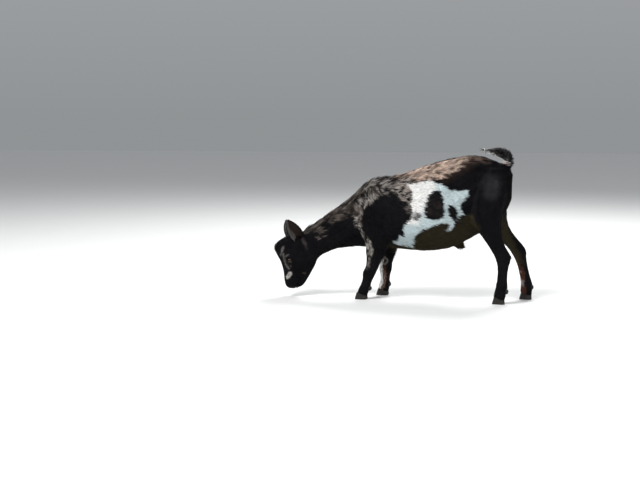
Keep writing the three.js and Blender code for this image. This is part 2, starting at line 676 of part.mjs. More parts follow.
goat.add(piece("head", headPiece, blackCoat));
goat.add(piece("neck", neckPiece, blackCoat));
goat.add(piece("tail", tailPiece, blackCoat));
for (const label of ["left", "right"]) {
  goat.add(piece(`eye_${label}`, eyes[label], eyeGloss));
  goat.add(piece(`ear_${label}`, ears[label], earSkin));
}

for (const name of legNames) {
  const { x } = hoofOf(LEGS[name]);
  let leg = trunk.intersect(legRegion(name, CUT)).trimByPlane(...coronet(x, 0));
  trunk = trunk.subtract(legRegion(name, 0));
  for (const [which, socket] of Object.entries(dewclaws(name, CUT))) {
    leg = leg.subtract(socket);
    goat.add(piece(`dewclaw_${name}_${which}`, dewclaws(name)[which], hoofHorn));
  }
  goat.add(piece(name, leg, blackCoat));
  for (const [which, claw] of Object.entries(claws(name))) {
    goat.add(piece(`hoof_${name}_${which}`, claw, hoofHorn));
  }
}
goat.add(piece("trunk", trunk, brownCoat));

// The origin is on the floor under the middle of the whole animal.
const extent = new THREE.Box3().setFromObject(goat, true);
goat.position.set(-(extent.min.x + extent.max.x) / 2, -(extent.min.y + extent.max.y) / 2, 0);

export default goat;
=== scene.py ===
"""A young dwarf goat grazing, life-size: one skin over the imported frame, glass eyes, horn claws, and a
coat of solid tufts that follows the lie of the hair. The head points to -X, the left side is -Y."""
import math
import bpy
import bmesh
import numpy as np
from mathutils import Matrix, Vector
from mathutils.kdtree import KDTree


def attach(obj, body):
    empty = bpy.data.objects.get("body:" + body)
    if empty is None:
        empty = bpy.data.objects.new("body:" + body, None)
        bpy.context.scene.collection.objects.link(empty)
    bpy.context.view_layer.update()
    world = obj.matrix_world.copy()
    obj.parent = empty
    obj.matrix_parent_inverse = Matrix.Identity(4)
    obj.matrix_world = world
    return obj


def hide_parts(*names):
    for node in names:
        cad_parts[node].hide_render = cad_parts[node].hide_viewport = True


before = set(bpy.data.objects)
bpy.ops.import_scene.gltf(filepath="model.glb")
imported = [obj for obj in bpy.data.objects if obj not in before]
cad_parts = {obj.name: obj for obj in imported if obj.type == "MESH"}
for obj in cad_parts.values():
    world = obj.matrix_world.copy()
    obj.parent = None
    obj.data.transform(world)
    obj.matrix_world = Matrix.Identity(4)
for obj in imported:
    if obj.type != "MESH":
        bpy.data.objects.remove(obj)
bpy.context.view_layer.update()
rng = np.random.default_rng(20240611)

# ---- Places ----
# Points are written in millimetres, as the solids are drawn, from an upright line ahead of the origin.
MM = 0.001
ORIGIN_X = 85.99
LEFT, RIGHT = -1, 1
SIDES = {"left": LEFT, "right": RIGHT}
HEAD_TURN = math.radians(18)  # the head looks this far to the animal's left
HEAD_PIVOT = np.array([-395.0, -20.0, 0.0])
EYE_RADIUS = 11.5
# on a head that looks straight on, for the right side
EYE = np.array([-456.0, 34.0, 120.5])
NOSTRIL = np.array([-465.0, 13.0, 39.0])


def to_frame(points):
    """Drawing millimetres to the frame's metres."""
    return (np.asarray(points, float) + [ORIGIN_X, 0, 0]) * MM


def to_drawing(points):
    """The frame's metres to drawing millimetres."""
    return np.asarray(points, float) / MM - [ORIGIN_X, 0, 0]


def spun(vectors, angle):
    c, s = math.cos(angle), math.sin(angle)
    x, y, z = vectors[..., 0], vectors[..., 1], vectors[..., 2]
    return np.stack([x * c - y * s, x * s + y * c, z], -1)


def turned(points):
    """Takes points of a straight head, drawn in the plane Y = 0, to where the head is and looks."""
    return spun(np.asarray(points, float) - HEAD_PIVOT * [1, 0, 1], HEAD_TURN) + HEAD_PIVOT


def straightened(points):
    """The opposite of turned()."""
    return spun(np.asarray(points, float) - HEAD_PIVOT, -HEAD_TURN) + HEAD_PIVOT * [1, 0, 1]


def unit(v):
    return v / np.maximum(np.linalg.norm(v, axis=-1, keepdims=True), 1e-9)


def ease(low, high, x):
    """Rises smoothly from 0 at low to 1 at high; low may be the greater."""
    t = np.clip((x - low) / (high - low), 0, 1)
    return t * t * (3 - 2 * t)


def noise(points, size, seed=0):
    """Smooth random values from -1 to 1, with lumps of about the given size."""
    q = np.asarray(points) / size + 1000.0
    base = np.floor(q).astype(np.int64)
    f = q - base
    f = f * f * (3 - 2 * f)
    total = np.zeros(len(q))
    for corner in np.ndindex(2, 2, 2):
        cell = base + corner
        mixed = cell[:, 0] * 73856093 ^ cell[:, 1] * 19349663 ^ cell[:, 2] * 83492791 ^ (seed * 2654435761)
        mixed = (mixed ^ (mixed >> 13)) * 1274126177 & 0x7FFFFFFF
        mixed = (mixed ^ (mixed >> 16)) & 0xFFFF
        weight = np.prod(np.where(corner, f, 1 - f), axis=1)
        total += weight * (mixed / 32767.5 - 1)
    return total


# ---- The lie of the coat ----
def foreleg(side, shoulder, elbow, knee, foot):
    """The lines of the shoulder, upper leg and shank, from how far back the leg's joints are."""
    return [
        ((shoulder, side * 66, 320), (elbow, side * 68, 200), 34, 15, 0.15, 1.7, 4, 19, (0.25, 0, 0), 0.15),
        ((elbow, side * 55, 200), (knee, side * 50, 100), 24, 10, 0.14, 1.4, 2.6, 26),
        ((knee, side * 50, 100), (foot, side * 50, 20), 16, 7.5, 0.14, 1.2, 1.8, 32),
    ]


def hindleg(side, stifle, gaskin, hock, foot):
    """The lines of the haunch, gaskin and cannon."""
    return [
        ((175, side * 68, 400), (stifle, side * 66, 230), 42, 14, 0.12, 1.6, 3.5, 20, (0.2, 0, 0)),
        ((gaskin, side * 60, 230), (hock, side * 57, 145), 26, 11, 0.14, 1.4, 2.6, 25),
        ((hock, side * 57, 145), (foot, side * 57, 18), 18, 8, 0.14, 1.2, 1.8, 31),
    ]


# Each line says how the hair near it lies: where the hair runs from and to and how far the line counts, then
# a tuft's length, the slope it stands at and its width, how deep the skin lies under the tips, the tufts per
# square centimetre, which way the hair sags, and how far it swings.
LIES = {
    "head": [  # from the nose up and back, on a straight head
        ((-472, 0, 34), (-476, 0, 92), 24, 4.5, 0.2, 1.0, 1.2, 38),
        ((-478, 0, 96), (-500, 0, 150), 30, 7, 0.24, 1.1, 1.8, 36),
        ((-503, 0, 152), (-455, 0, 204), 30, 13, 0.42, 1.4, 4, 34, (0.3, 0, 0), 0.1),
        ((-418, 0, 34), (-376, 0, 98), 28, 7, 0.2, 1.2, 2, 32),
        ((-455, 26, 60), (-400, 38, 140), 24, 7, 0.2, 1.1, 1.8, 34),
        ((-455, 38, 140), (-405, 34, 190), 24, 9, 0.22, 1.2, 2.4, 32),
    ],
    "neck": [
        ((-432, -28, 205), (-372, -22, 243), 26, 20, 0.36, 1.9, 6, 17, (0, 0, -0.1), 0.25),
        ((-372, -20, 245), (-240, -3, 345), 36, 26, 0.3, 2.1, 8, 15, (0, 0, -0.25), 0.35),
        ((-385, -4, 190), (-240, 40, 260), 34, 20, 0.2, 1.9, 6, 16, (0, 0, -0.25), 0.25),
        ((-350, -18, 132), (-225, 0, 160), 30, 18, 0.24, 1.8, 5, 16, (0, 0, -0.15), 0.15),
    ],
    "trunk": [
        ((-215, 0, 370), (-110, 0, 400), 40, 28, 0.3, 2.1, 8, 14, (0, 0, -0.05), 0.4),
        ((-110, 0, 400), (120, 0, 462), 46, 27, 0.22, 2.0, 7, 15, (0, 0, 0), 0.25),
        ((120, 0, 462), (235, 0, 435), 40, 20, 0.18, 1.8, 5, 17, (0, 0, 0), 0.1),
        ((-205, 50, 340), (-185, 60, 210), 40, 20, 0.24, 1.9, 6, 16, (0.5, 0, 0), 0.3),
        ((-215, 0, 215), (-110, 0, 158), 40, 20, 0.3, 1.9, 6, 16, (0, 0, -0.3), 0.2),
        ((-110, 80, 330), (110, 85, 350), 55, 19, 0.18, 1.8, 5, 17, (0, 0, -0.28), 0.12),
        ((-110, 85, 240), (110, 85, 250), 55, 18, 0.18, 1.8, 5, 17, (0, 0, -0.4), 0.12),
        ((-110, 30, 158), (120, 30, 180), 50, 20, 0.26, 1.8, 6, 16, (0, 0, -0.25), 0.15),
        ((258, 0, 395), (256, 0, 300), 30, 16, 0.2, 1.6, 4, 18),
    ],
    "foreleg_left": foreleg(LEFT, -175, -165, -180, -205),
    "foreleg_right": foreleg(RIGHT, -160, -145, -148, -153),
    "hindleg_left": hindleg(LEFT, 205, 200, 238, 230),
    "hindleg_right": hindleg(RIGHT, 215, 215, 283, 305),
    "tail": [  # from the root over its bend to the tip
        ((232, 0, 425), (246, 0, 455), 20, 18, 0.2, 1.7, 4, 24),
        ((246, 0, 455), (218, 0, 480), 20, 24, 0.2, 1.8, 5, 24),
        ((218, 0, 476), (170, 0, 478), 18, 24, 0.2, 1.8, 5, 26),
    ],
}
NUMBERS = ["length", "lift", "width", "depth", "dense", "wave"]


def lie(piece, start, end, radius, length, lift, width, depth, dense, fall=(0, 0, 0), wave=0.0):
    ends = np.array([start, end], float)
    start, end = turned(ends) if piece == "head" else ends
    return {"piece": piece, "start": start, "end": end, "radius": radius, "fall": np.array(fall, float),
            "length": length, "lift": lift, "width": width, "depth": depth, "dense": dense, "wave": wave}


COAT_LIES = []
for piece_name, lines in LIES.items():
    for ends_and_hair in lines:
        COAT_LIES.append(lie(piece_name, *ends_and_hair))
        # those drawn on the right of the head, neck or trunk come again on the left
        if piece_name in ("head", "neck", "trunk") and max(end[1] for end in ends_and_hair[:2]) > 25:
            mirrored = np.array(ends_and_hair[:2]) * [1, -1, 1]
            COAT_LIES.append(lie(piece_name, *mirrored, *ends_and_hair[2:]))


def coat_at(points):
    """At each point, in drawing mm: the hair's direction, the tuft's numbers and the name of its piece."""
    weights = []
    for one in COAT_LIES:
        run = one["end"] - one["start"]
        t = np.clip((points - one["start"]) @ run / (run @ run), 0, 1)
        away = np.linalg.norm(points - (one["start"] + t[:, None] * run), axis=1) / one["radius"]
        weights.append(1 / (away ** 6 + 0.01))
    weights = np.array(weights)
    share = weights / weights.sum(0)
    headings = np.array([unit(one["end"] - one["start"]) + one["fall"] for one in COAT_LIES])
    numbers = {key: share.T @ np.array([one[key] for one in COAT_LIES]) for key in NUMBERS}
    names = np.array([one["piece"] for one in COAT_LIES])[share.argmax(0)]
    return unit(share.T @ headings), numbers, names


# ---- Markings and painted light ----
BLACK, SOFT_BLACK, GREY, PALE_GREY, WHITE, BROWN, TAN, DUN, KHAKI, RUST, PINK = np.array([
    (0.0022, 0.0021, 0.0036), (0.0066, 0.0060, 0.0072), (0.175, 0.160, 0.148), (0.44, 0.42, 0.395),
    (0.88, 0.87, 0.85), (0.046, 0.027, 0.020), (0.50, 0.382, 0.31), (0.105, 0.078, 0.064),
    (0.030, 0.0245, 0.0125), (0.085, 0.034, 0.021), (0.44, 0.27, 0.23),
])

# Outlines seen from the side, x and z: the flank's white patch with its round spot and the dark slot that the
# belly sends up into it, the brown back and the khaki belly.
PATCH = [(-64, 368), (-23, 375), (17, 381), (33, 375), (54, 367), (71, 357), (99, 352), (124, 355),
         (130, 345), (120, 326), (110, 317), (102, 309), (110, 290), (117, 281), (105, 272), (97, 260),
         (92, 264), (87, 264), (88, 251), (74, 228), (66, 226), (73, 244), (66, 253), (39, 250), (1, 237),
         (-23, 222), (-36, 203), (-47, 167), (-66, 177), (-103, 181), (-106, 189), (-85, 196), (-86, 209),
         (-67, 202), (-68, 217), (-76, 227), (-67, 244), (-47, 260), (-42, 285), (-48, 309), (-46, 343),
         (-54, 359)]
SLOT = [(85, 301), (73, 305), (69, 293), (74, 278), (83, 267), (90, 255), (96, 260), (93, 272), (94, 287)]
SPOT = [(22, 353), (41, 352), (52, 332), (57, 300), (54, 268), (26, 262), (2, 268), (-4, 296), (-2, 316),
        (10, 338)]
BACK = [(-118, 392), (-66, 376), (20, 386), (50, 390), (64, 397), (88, 413), (111, 427), (134, 443),
        (134, 470), (60, 470), (-60, 440), (-125, 410)]
BELLY = [(-125, 178), (-60, 174), (-44, 206), (-20, 224), (40, 250), (88, 245), (104, 264), (140, 282),
         (168, 245), (160, 210), (110, 150), (0, 120), (-125, 140)]

# Lines along the body, all x and then all z: the lower edge of the neck's frosting and painted highlight, the
# croup under the tail, the height up to which the tail is white; and, all z and then all x: the front of the
# patch's roan, where painted shade begins on its white, the fronts of the right legs and of the right thigh.
FROST_HIGHLIGHT_EDGE = ([-393, -367, -344, -314, -282, -243, -225, -198, -174, -149, -117, -92, -60],
              [212, 203, 203, 225, 247, 267, 290, 312, 327, 343, 358, 354, 385])
CROUP = ([150, 166, 182, 197, 213, 228, 244, 252], [471, 465, 462, 453, 445, 438, 430, 425])
TAIL_EDGE = ([176, 188, 200, 214, 227, 243, 251], [478, 472, 466, 458.5, 452, 444, 440])
ROAN_FRONT = ([265, 284, 311, 345, 370], [-50, -62, -84, -104, -110])
SHADE_FRONT = ([243, 296, 330, 365, 385], [-30, -6, 11, 30, 22])
FORELEG_FRONT = ([10, 40, 60, 90, 120, 150], [-176, -168, -165, -168, -167, -160])
HINDLEG_FRONT = ([20, 45, 90, 125, 155], [289, 289, 283, 269, 254])
THIGH_FRONT = ([100, 155, 200, 270], [281, 254, 232, 205])

# Round bars seen from the side: x and z of the two ends, and the radius.
GROOVE = [(-203, 335, -223, 268, 20), (-206, 302, -170, 338, 22), (-223, 268, -219, 236, 18),
          (-219, 236, -202, 205, 17), (-202, 205, -184, 178, 16), (-182, 178, -182, 146, 17),
          (-182, 146, -186, 112, 11)]
WISPS = [(-366, 204, -347, 192, 5), (-347, 192, -330, 200, 5), (-409, 222, -407, 204, 4)]
# The face's marks and painted highlights on a straight head: colour, strength, how far from the head's middle
# it starts, bars.
FACE_MARKS_AND_HIGHLIGHTS = [
    # forehead and brow, down to the inner corner of the eye and the bridge of the nose
    (GREY, 0.8, 14, (-476, 164, -480, 154, 4.4)),
    (GREY * 0.8, 0.75, 14, (-480, 154, -484, 137, 3.0)),
    (GREY, 0.85, 14, (-476, 142, -473, 125, 2.6), (-473, 125, -468, 108, 2.6)),
    (GREY, 0.85, 10, (-468, 108, -458, 94, 3.4)),
    # over the eye, and under it a painted highlight on the tear pit
    (GREY * 0.8, 0.8, 22, (-471, 134, -460, 142, 2.6)),
    (GREY * 0.7, 0.6, 18, (-453, 104, -451, 101, 2.2)),
    # above the nostril, with a darker middle
    (PALE_GREY * 1.1, 0.95, 8, (-454, 76, -461, 65, 6.4)),
    (GREY * 0.2, 0.85, 8, (-457, 73, -459, 69, 2.0)),
    # forelock (a painted highlight); corner of the mouth, below the ear, throat
    (GREY * 0.5, 0.7, 0, (-505, 174, -506, 152, 6.0)),
    (DUN, 0.7, 8, (-413, 79, -404, 77, 3.2)),
    (GREY * 0.35, 0.7, 20, (-414, 189, -405, 175, 5.5)),
    (GREY * 0.3, 0.5, 20, (-405, 175, -399, 159, 3.5)),
    (BROWN, 0.5, 10, (-372, 118, -364, 128, 6.0)),
]


def bar_depth(x, z, *bars):
    """How far each point is inside the nearest of some round bars, in mm; negative outside."""
    depth = np.full(len(x), -1e9)
    for x0, z0, x1, z1, radius in bars:
        run_x, run_z = x1 - x0, z1 - z0
        t = np.clip(((x - x0) * run_x + (z - z0) * run_z) / (run_x ** 2 + run_z ** 2), 0, 1)
        depth = np.maximum(depth, radius - np.hypot(x - x0 - t * run_x, z - z0 - t * run_z))
    return depth


def outline_depth(x, z, outline):
    """The same for an outline."""
    edges = [(*a, *b, 0) for a, b in zip(outline, outline[1:] + outline[:1])]
    inside = np.zeros(len(x), bool)
    for x0, z0, x1, z1, _ in edges:
        if z0 != z1:
            inside ^= ((z0 > z) != (z1 > z)) & (x < x0 + (z - z0) * (x1 - x0) / (z1 - z0))
    nearest = -bar_depth(x, z, *edges)
    return np.where(inside, nearest, -nearest)


def oval_depth(x, z, middle, half):
    """The same for an upright oval."""
    r = np.hypot((x - middle[0]) / half[0], (z - middle[1]) / half[1])
    return (1 - r) * min(half)


def coat_colour(points, scatter):
    """The coat's colour at each point, in drawing mm, with some painted highlights and painted shade.
    scatter, from -1 to 1, is each tuft's own luck.
    """
    x, y, z = points.T
    left = y < 0
    lumps = noise(points, 26, 1) * 0.6 + noise(points, 11, 2) * 0.4
    streaks = noise(points * [0.35, 1, 1], 6, 3)
    curls = 0.55 * noise(points, 12, 6) + 0.45 * noise(points, 6.5, 7)
    ragged = 3.5 * lumps + 3.5 * scatter + 1.8 * noise(points, 2.6, 4)
    tone = BLACK + (SOFT_BLACK - BLACK) * np.clip(0.5 + 0.5 * lumps + 0.3 * scatter, 0, 1)[:, None]

    def paint(mask, colour):
        nonlocal tone
        tone = tone + (colour - tone) * np.clip(mask, 0, 1)[:, None]

    # frosting: grey locks over the neck's upper side, the withers and the groove before the shoulder, partly
    # frosted hair and partly a painted highlight where the top of the neck and the withers face the light
    crest = ease(-10, 14, z - np.interp(x, *FROST_HIGHLIGHT_EDGE) + 5 * lumps)
    fore = ease(-425, -405, x) * (1 - ease(-88, -52, x))
    groove = ease(0, 9, bar_depth(x, z, *GROOVE)) * left
    blade = ease(0, 22, bar_depth(x, z, (-190, 362, -95, 368, 40)))
    nape = 0.62 * ease(0, 6, bar_depth(x, z, (-400, 212, -378, 228, 14)))
    wisp = 0.85 * ease(0, 3, bar_depth(x, z, *WISPS))
    frost_and_highlight = np.maximum.reduce([crest * fore * 0.8, groove, blade, nape, wisp])
    lucky = ease(-0.25, 0.4, 0.95 * curls + 0.1 * lumps + 0.5 * scatter + 0.5 * (frost_and_highlight - 0.8))
    paint(frost_and_highlight * lucky * 0.9, GREY * [0.9, 0.83, 0.77])
    bright = ease(0.15, 0.65, 0.75 * curls + 0.7 * scatter + 0.5 * (np.maximum(blade, groove) - 0.8))
    paint(frost_and_highlight * bright * 0.8, PALE_GREY * 0.95)
    brownish = ease(0, 30, bar_depth(x, z, (-300, 285, -240, 300, 45)))
    paint(brownish * 0.45 * ease(-0.3, 0.6, lumps), DUN)

    # brown back with tan streaks that are partly a painted highlight on the top of the back, a dark line down
    # the spine and a bluish grey painted highlight on the haunch
    depth = outline_depth(x, z, BACK)
    paint(ease(-30, -2, depth + 2 * ragged) * ease(30, 60, x) * 0.75, BROWN * 0.6)
    back = ease(-7, 7, depth + 1.6 * ragged)
    paint(back, BROWN)
    # painted highlight: the tan streaks are made brighter over the middle of the back than at its ends
    light = np.interp(x, [-105, -65, -15, 60, 110, 140], [0.5, 0.75, 1.2, 1.0, 0.75, 0.5])[:, None]
    paint(back * ease(-0.65, 0.0, streaks * 0.8 + scatter * 0.7), TAN * 0.66 * light)
    paint(back * ease(0.0, 0.5, streaks * 0.7 + scatter * 0.8), TAN * 1.28 * light)
    rump = ease(-4, 6, bar_depth(x, z, (132, 448, 184, 450, 13)) + ragged)
    paint(rump * ease(-0.6, 0.4, streaks + scatter) * 0.9, BROWN * 1.9)
    paint(rump * ease(0.2, 0.7, streaks + scatter) * 0.5, DUN * 1.6)
    spine = ease(13, 7, abs(y) + 0.6 * ragged) * ease(-60, 10, x)
    paint(spine * (z > 380) * 0.85, SOFT_BLACK)
    # painted highlight: a bluish grey patch on the haunch
    haunch_highlight = ease(0, 26, bar_depth(x, z, (202, 374, 198, 350, 36)))
    paint(haunch_highlight * 0.4, GREY * [0.29, 0.31, 0.39])

    belly = ease(-6, 6, outline_depth(x, z, BELLY) + ragged)
    paint(belly * 0.9, KHAKI * (1.0 + 0.25 * scatter[:, None]))

    # white patch behind a band of roan; on the right it starts further back and has no slot
    past = x - np.interp(z, *ROAN_FRONT)
    roan = ease(-4, 24, past + 4 * lumps) * (1 - ease(-60, -44, x)) * ease(262, 276, z)
    roan *= (z < 385) & (x > -125)
    roan_locks = ease(-0.45, 0.3, curls + scatter + 0.012 * (past - 30))
    paint(roan * roan_locks * 0.9, PALE_GREY * [0.95, 0.87, 0.83])
    mark_x = np.where(left, x, x * 0.9 + 22)
    white = ease(-1.5, 1.5, outline_depth(mark_x, z, PATCH) + ragged * 0.8)
    spot_depth = outline_depth(mark_x, z, SPOT) + ragged * 0.7
    slot = ease(-1.5, 1.5, outline_depth(mark_x, z, SLOT) + 3.5 + ragged * 0.4) * left
    smudge = ease(-3, 3, oval_depth(mark_x, z, (-31, 275), (14, 14)) + ragged) * left
    # it is purest in front; behind and below, a bluish grey is painted over the white as painted shade
    patch_shade = ease(-14, 16, mark_x - np.interp(z, *SHADE_FRONT))
    patch_shade = np.maximum(patch_shade, ease(256, 238, z + 3 * lumps))[:, None]
    paint(white, WHITE * (1 - patch_shade * [0.36, 0.25, 0.21]) * (1 + 0.06 * scatter[:, None]))
    paint(white * ease(-1.5, 1.5, spot_depth), SOFT_BLACK)
    paint(white * ease(7, 13, spot_depth) * ease(-0.4, 0.5, curls + 0.6 * scatter) * 0.6, DUN * 0.42)
    paint(white * slot, SOFT_BLACK)
    smudge = smudge * ease(-0.75, 0.0, curls + 0.5 * scatter + 0.03 * (mark_x + 31))
    paint(white * smudge * 0.9, GREY * 0.22)

    # tail: white below and in front, pink at its root, black above and behind, a few grey hairs
    tail = ease(0, 3, z - np.interp(x, *CROUP)) * (x > 150)
    under = ease(1.5, -1.5, z - np.interp(x, *TAIL_EDGE) + 0.6 * ragged) * ease(251, 247, x)
    paint(tail * under, WHITE)
    paint(tail * ease(-1, 3, oval_depth(x, z, (239, 434), (10, 9))) * 0.8, PINK)
    paint(ease(-2, 2, x - 248) * ease(420, 428, z), SOFT_BLACK)
    tip = ease(0, 5, bar_depth(x, z, (166, 480, 196, 482, 9)))
    paint(tail * tip * ease(-0.3, 0.6, scatter) * 0.8, GREY)
    paint(tail * (1 - under) * ease(0.1, 0.9, scatter) * 0.5, GREY * 0.8)

    # right foreleg: white down its front, rust behind that, and a pale curl over both
    fore_right = (y > 20) & (x < -60) & (z < 160)
    across = x - np.interp(z, *FORELEG_FRONT) + 1.6 * ragged
    front = ease(15, 10, across) * fore_right * ease(140, 112, z)
    paint(front * ease(-1.3, -0.4, lumps + 0.6 * scatter), WHITE)
    paint(front * ease(0.1, 0.6, lumps) * ease(60, 90, z) * 0.4, PINK)
    rust = ease(9, 14, across) * ease(27, 20, across) * fore_right * ease(112, 94, z)
    paint(rust * 0.85, RUST * (0.7 + 0.35 * lumps[:, None]))
    curl = oval_depth(x, z, (-149, 114), (12, 13)) + 0.6 * ragged
    paint(ease(-1, 3, curl) * ease(8, 4, curl) * fore_right * 0.8, GREY * 1.3)
    paint(ease(3, 0.5, abs(across - 19)) * fore_right * ease(90, 70, z) * 0.3, TAN)

    # right hind leg: rust and white down its front, khaki inside the thigh
    hind_right = (y > 20) & (x > 150)
    across = x - np.interp(z, *HINDLEG_FRONT) + 1.6 * ragged
    paint(ease(20, 12, across) * hind_right * ease(165, 140, z) * 0.85, RUST)
    pale = ease(15, 8, across) * hind_right * ease(96, 80, z)
    paint(pale * ease(-0.2, 0.4, lumps + 0.4 * scatter) * 0.85, WHITE * 0.62)
    inner = ease(66, 56, y) * hind_right * ease(100, 130, z) * ease(300, 270, z)
    paint(inner * ease(36, 18, x - np.interp(z, *THIGH_FRONT) + 2 * ragged) * 0.7, KHAKI * 1.5)

    # left foreleg: a painted highlight of grey streaks down its front
    foreleg_highlight = ease(0, 6, bar_depth(x, z, (-190, 178, -190, 108, 14))) * (y < -20)
    paint(foreleg_highlight * ease(-0.2, 0.6, streaks + 0.6 * scatter) * 0.5, GREY)

    # face and chin
    on_head = ease(-372, -396, x)
    face_x, face_y, face_z = straightened(points).T
    for colour, strength, start, *bars in FACE_MARKS_AND_HIGHLIGHTS:
        share = ease(-1.5, 2.5, bar_depth(face_x, face_z, *bars) + ragged * 0.5)
        paint(share * ease(start - 4, start + 2, abs(face_y)) * on_head * strength, colour)
    chin = ease(-2, 5, bar_depth(face_x, face_z, (-470, 26, -440, 26, 8)))
    paint(chin * on_head * 0.5, DUN * 0.6)
    return tone


# ---- Meshes ----
def place_object(name, data, place=(0, 0, 0), rotation=(0, 0, 0)):
    made = bpy.data.objects.new(name, data)
    made.location = place
    made.rotation_euler = rotation
    bpy.context.scene.collection.objects.link(made)
    return made


def link(name, mesh, material):
    piece = place_object(name, mesh)
    mesh.materials.append(bpy.data.materials[material])
    mesh.polygons.foreach_set("use_smooth", np.ones(len(mesh.polygons), bool))
    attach(piece, "root")
    return piece


def triangle_mesh(name, points, faces):
    mesh = bpy.data.meshes.new(name)
    mesh.vertices.add(len(points))
    mesh.vertices.foreach_set("co", np.ascontiguousarray(points, np.float32).ravel())
    mesh.loops.add(faces.size)
    mesh.loops.foreach_set("vertex_index", np.ascontiguousarray(faces, np.int32).ravel())
    mesh.polygons.add(len(faces))
    mesh.polygons.foreach_set("loop_start", np.arange(0, faces.size, 3, dtype=np.int32))
    mesh.update(calc_edges=True)
    return mesh


def store(mesh, name, kind, key, values):
    """Keeps something for each vertex, for the materials to read."""
    layer = mesh.attributes.new(name, kind, "POINT")
    layer.data.foreach_set(key, np.ascontiguousarray(values, np.float32).ravel())


def set_tone(mesh, colours):
    store(mesh, "tone", "FLOAT_COLOR", "color", np.column_stack([colours, np.ones(len(colours))]))


def read(mesh, key="co"):
    """Each vertex's position, or its normal."""
    values = np.empty(len(mesh.vertices) * 3, np.float32)
    mesh.vertices.foreach_get(key, values)
    return values.reshape(-1, 3).astype(float)


def move_to(mesh, points):
    mesh.vertices.foreach_set("co", np.ascontiguousarray(points, np.float32).ravel())
    mesh.update()


def from_bmesh(bm, name):
    mesh = bpy.data.meshes.new(name)
    bm.to_mesh(mesh)
    bm.free()
    return mesh


def node_solid(name):
    """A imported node's solid, where it stands."""
    bm = bmesh.new()
    bm.from_mesh(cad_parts[name].data)
    bm.transform(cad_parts[name].matrix_world)
    bmesh.ops.remove_doubles(bm, verts=bm.verts, dist=1e-5)
    return bm


def relax(mesh, rounds, mask=1.0, back=-0.52):
    """Evens out a surface; the step back keeps it from shrinking."""
    edges = np.empty(len(mesh.edges) * 2, np.int32)
    mesh.edges.foreach_get("vertices", edges)
    a, b = edges.reshape(-1, 2).T
    count = np.bincount(edges, minlength=len(mesh.vertices))[:, None]
    p = read(mesh)
    mask = np.reshape(mask, (-1, 1))
    for step in range(rounds * 2):
        total = np.zeros_like(p)
        np.add.at(total, a, p[b])
        np.add.at(total, b, p[a])
        p += (0.5 if step % 2 == 0 else back) * mask * (total / np.maximum(count, 1) - p)
    move_to(mesh, p)


# ---- Materials ----
def new_material(name, roughness, **sockets):
    material = bpy.data.materials.new(name)
    material.use_nodes = True
    shader = material.node_tree.nodes["Principled BSDF"]
    shader.inputs["Roughness"].default_value = roughness
    for key, value in sockets.items():
        shader.inputs[key.replace("_", " ")].default_value = value
    return material.node_tree, shader


def node(tree, kind, inputs, **settings):
    """A shader node. Each of its inputs gets a value, or another node's output."""
    made = tree.nodes.new("ShaderNode" + kind)
    for key, value in settings.items():
        setattr(made, key, value)
    for key, value in inputs.items():
        if isinstance(value, bpy.types.NodeSocket):
            tree.links.new(value, made.inputs[key])
        else:
            made.inputs[key].default_value = value
    return made


def attribute(tree, name, output):
    return node(tree, "Attribute", {}, attribute_name=name).outputs[output]


def plain(tree, *colour):
    shade = node(tree, "RGB", {}).outputs[0]
    shade.default_value = (*colour, 1)
    return shade


def grain_noise(tree, scale, detail=3.0, stretch=(1, 1, 1)):
    place = node(tree, "TexCoord", {}).outputs["Object"]
    place = node(tree, "Mapping", {"Vector": place, "Scale": stretch}).outputs["Vector"]
    return node(tree, "TexNoise", {"Vector": place, "Scale": scale, "Detail": detail}).outputs["Fac"]


def varied(tree, colour, factor, low, high):
    """Multiplies a colour by a value that a 0-1 factor moves between low and high."""
    band = node(tree, "MapRange", {"Value": factor, "To Min": low, "To Max": high}).outputs["Result"]
    return node(tree, "VectorMath", {0: colour, "Scale": band}, operation="SCALE").outputs["Vector"]


def ramp(tree, value, stops):
    made = node(tree, "ValToRGB", {"Fac": value})
    elements = made.color_ramp.elements
    while len(elements) < len(stops):
        elements.new(0.5)
    for element, (place, colour) in zip(elements, stops):
        element.position = place
        element.color = (*colour, 1)
    return made.outputs["Color"]


def surface(tree, shader, colour, height, strength, distance):
    """Gives a material its colour and a bump."""
    tree.links.new(colour, shader.inputs["Base Color"])
    bump = node(tree, "Bump", {"Strength": strength, "Distance": distance, "Height": height})
    tree.links.new(bump.outputs["Normal"], shader.inputs["Normal"])


def grained_material(name, roughness, specular, tint, grain, low, high, bump):
    """A material whose colour, made by tint, and whose bump vary with a fine grain."""
    tree, shader = new_material(name, roughness, Specular_IOR_Level=specular)
    height = grain_noise(tree, *grain)
    surface(tree, shader, varied(tree, tint(tree), height, low, high), height, *bump)


def tone_of(tree):
    return attribute(tree, "tone", "Color")


def hair_colour(tree):
    """A tuft's colour, darker at the root and lighter at the tip."""
    return varied(tree, tone_of(tree), attribute(tree, "reach", "Fac"), 0.6, 1.3)


# The eyeball's colours from the middle of the pupil out, as shares of its radius: a dark amber iris in a
# nearly black rim; and half the pupil's slot along and across.
IRIS = [(0.0, (0.030, 0.0165, 0.0065)), (0.42, (0.023, 0.012, 0.005)), (0.6, (0.012, 0.007, 0.004)),
        (0.68, (0.005, 0.0045, 0.0045)), (0.95, (0.010, 0.008, 0.0075))]
PUPIL_HALF = (0.42, 0.13)


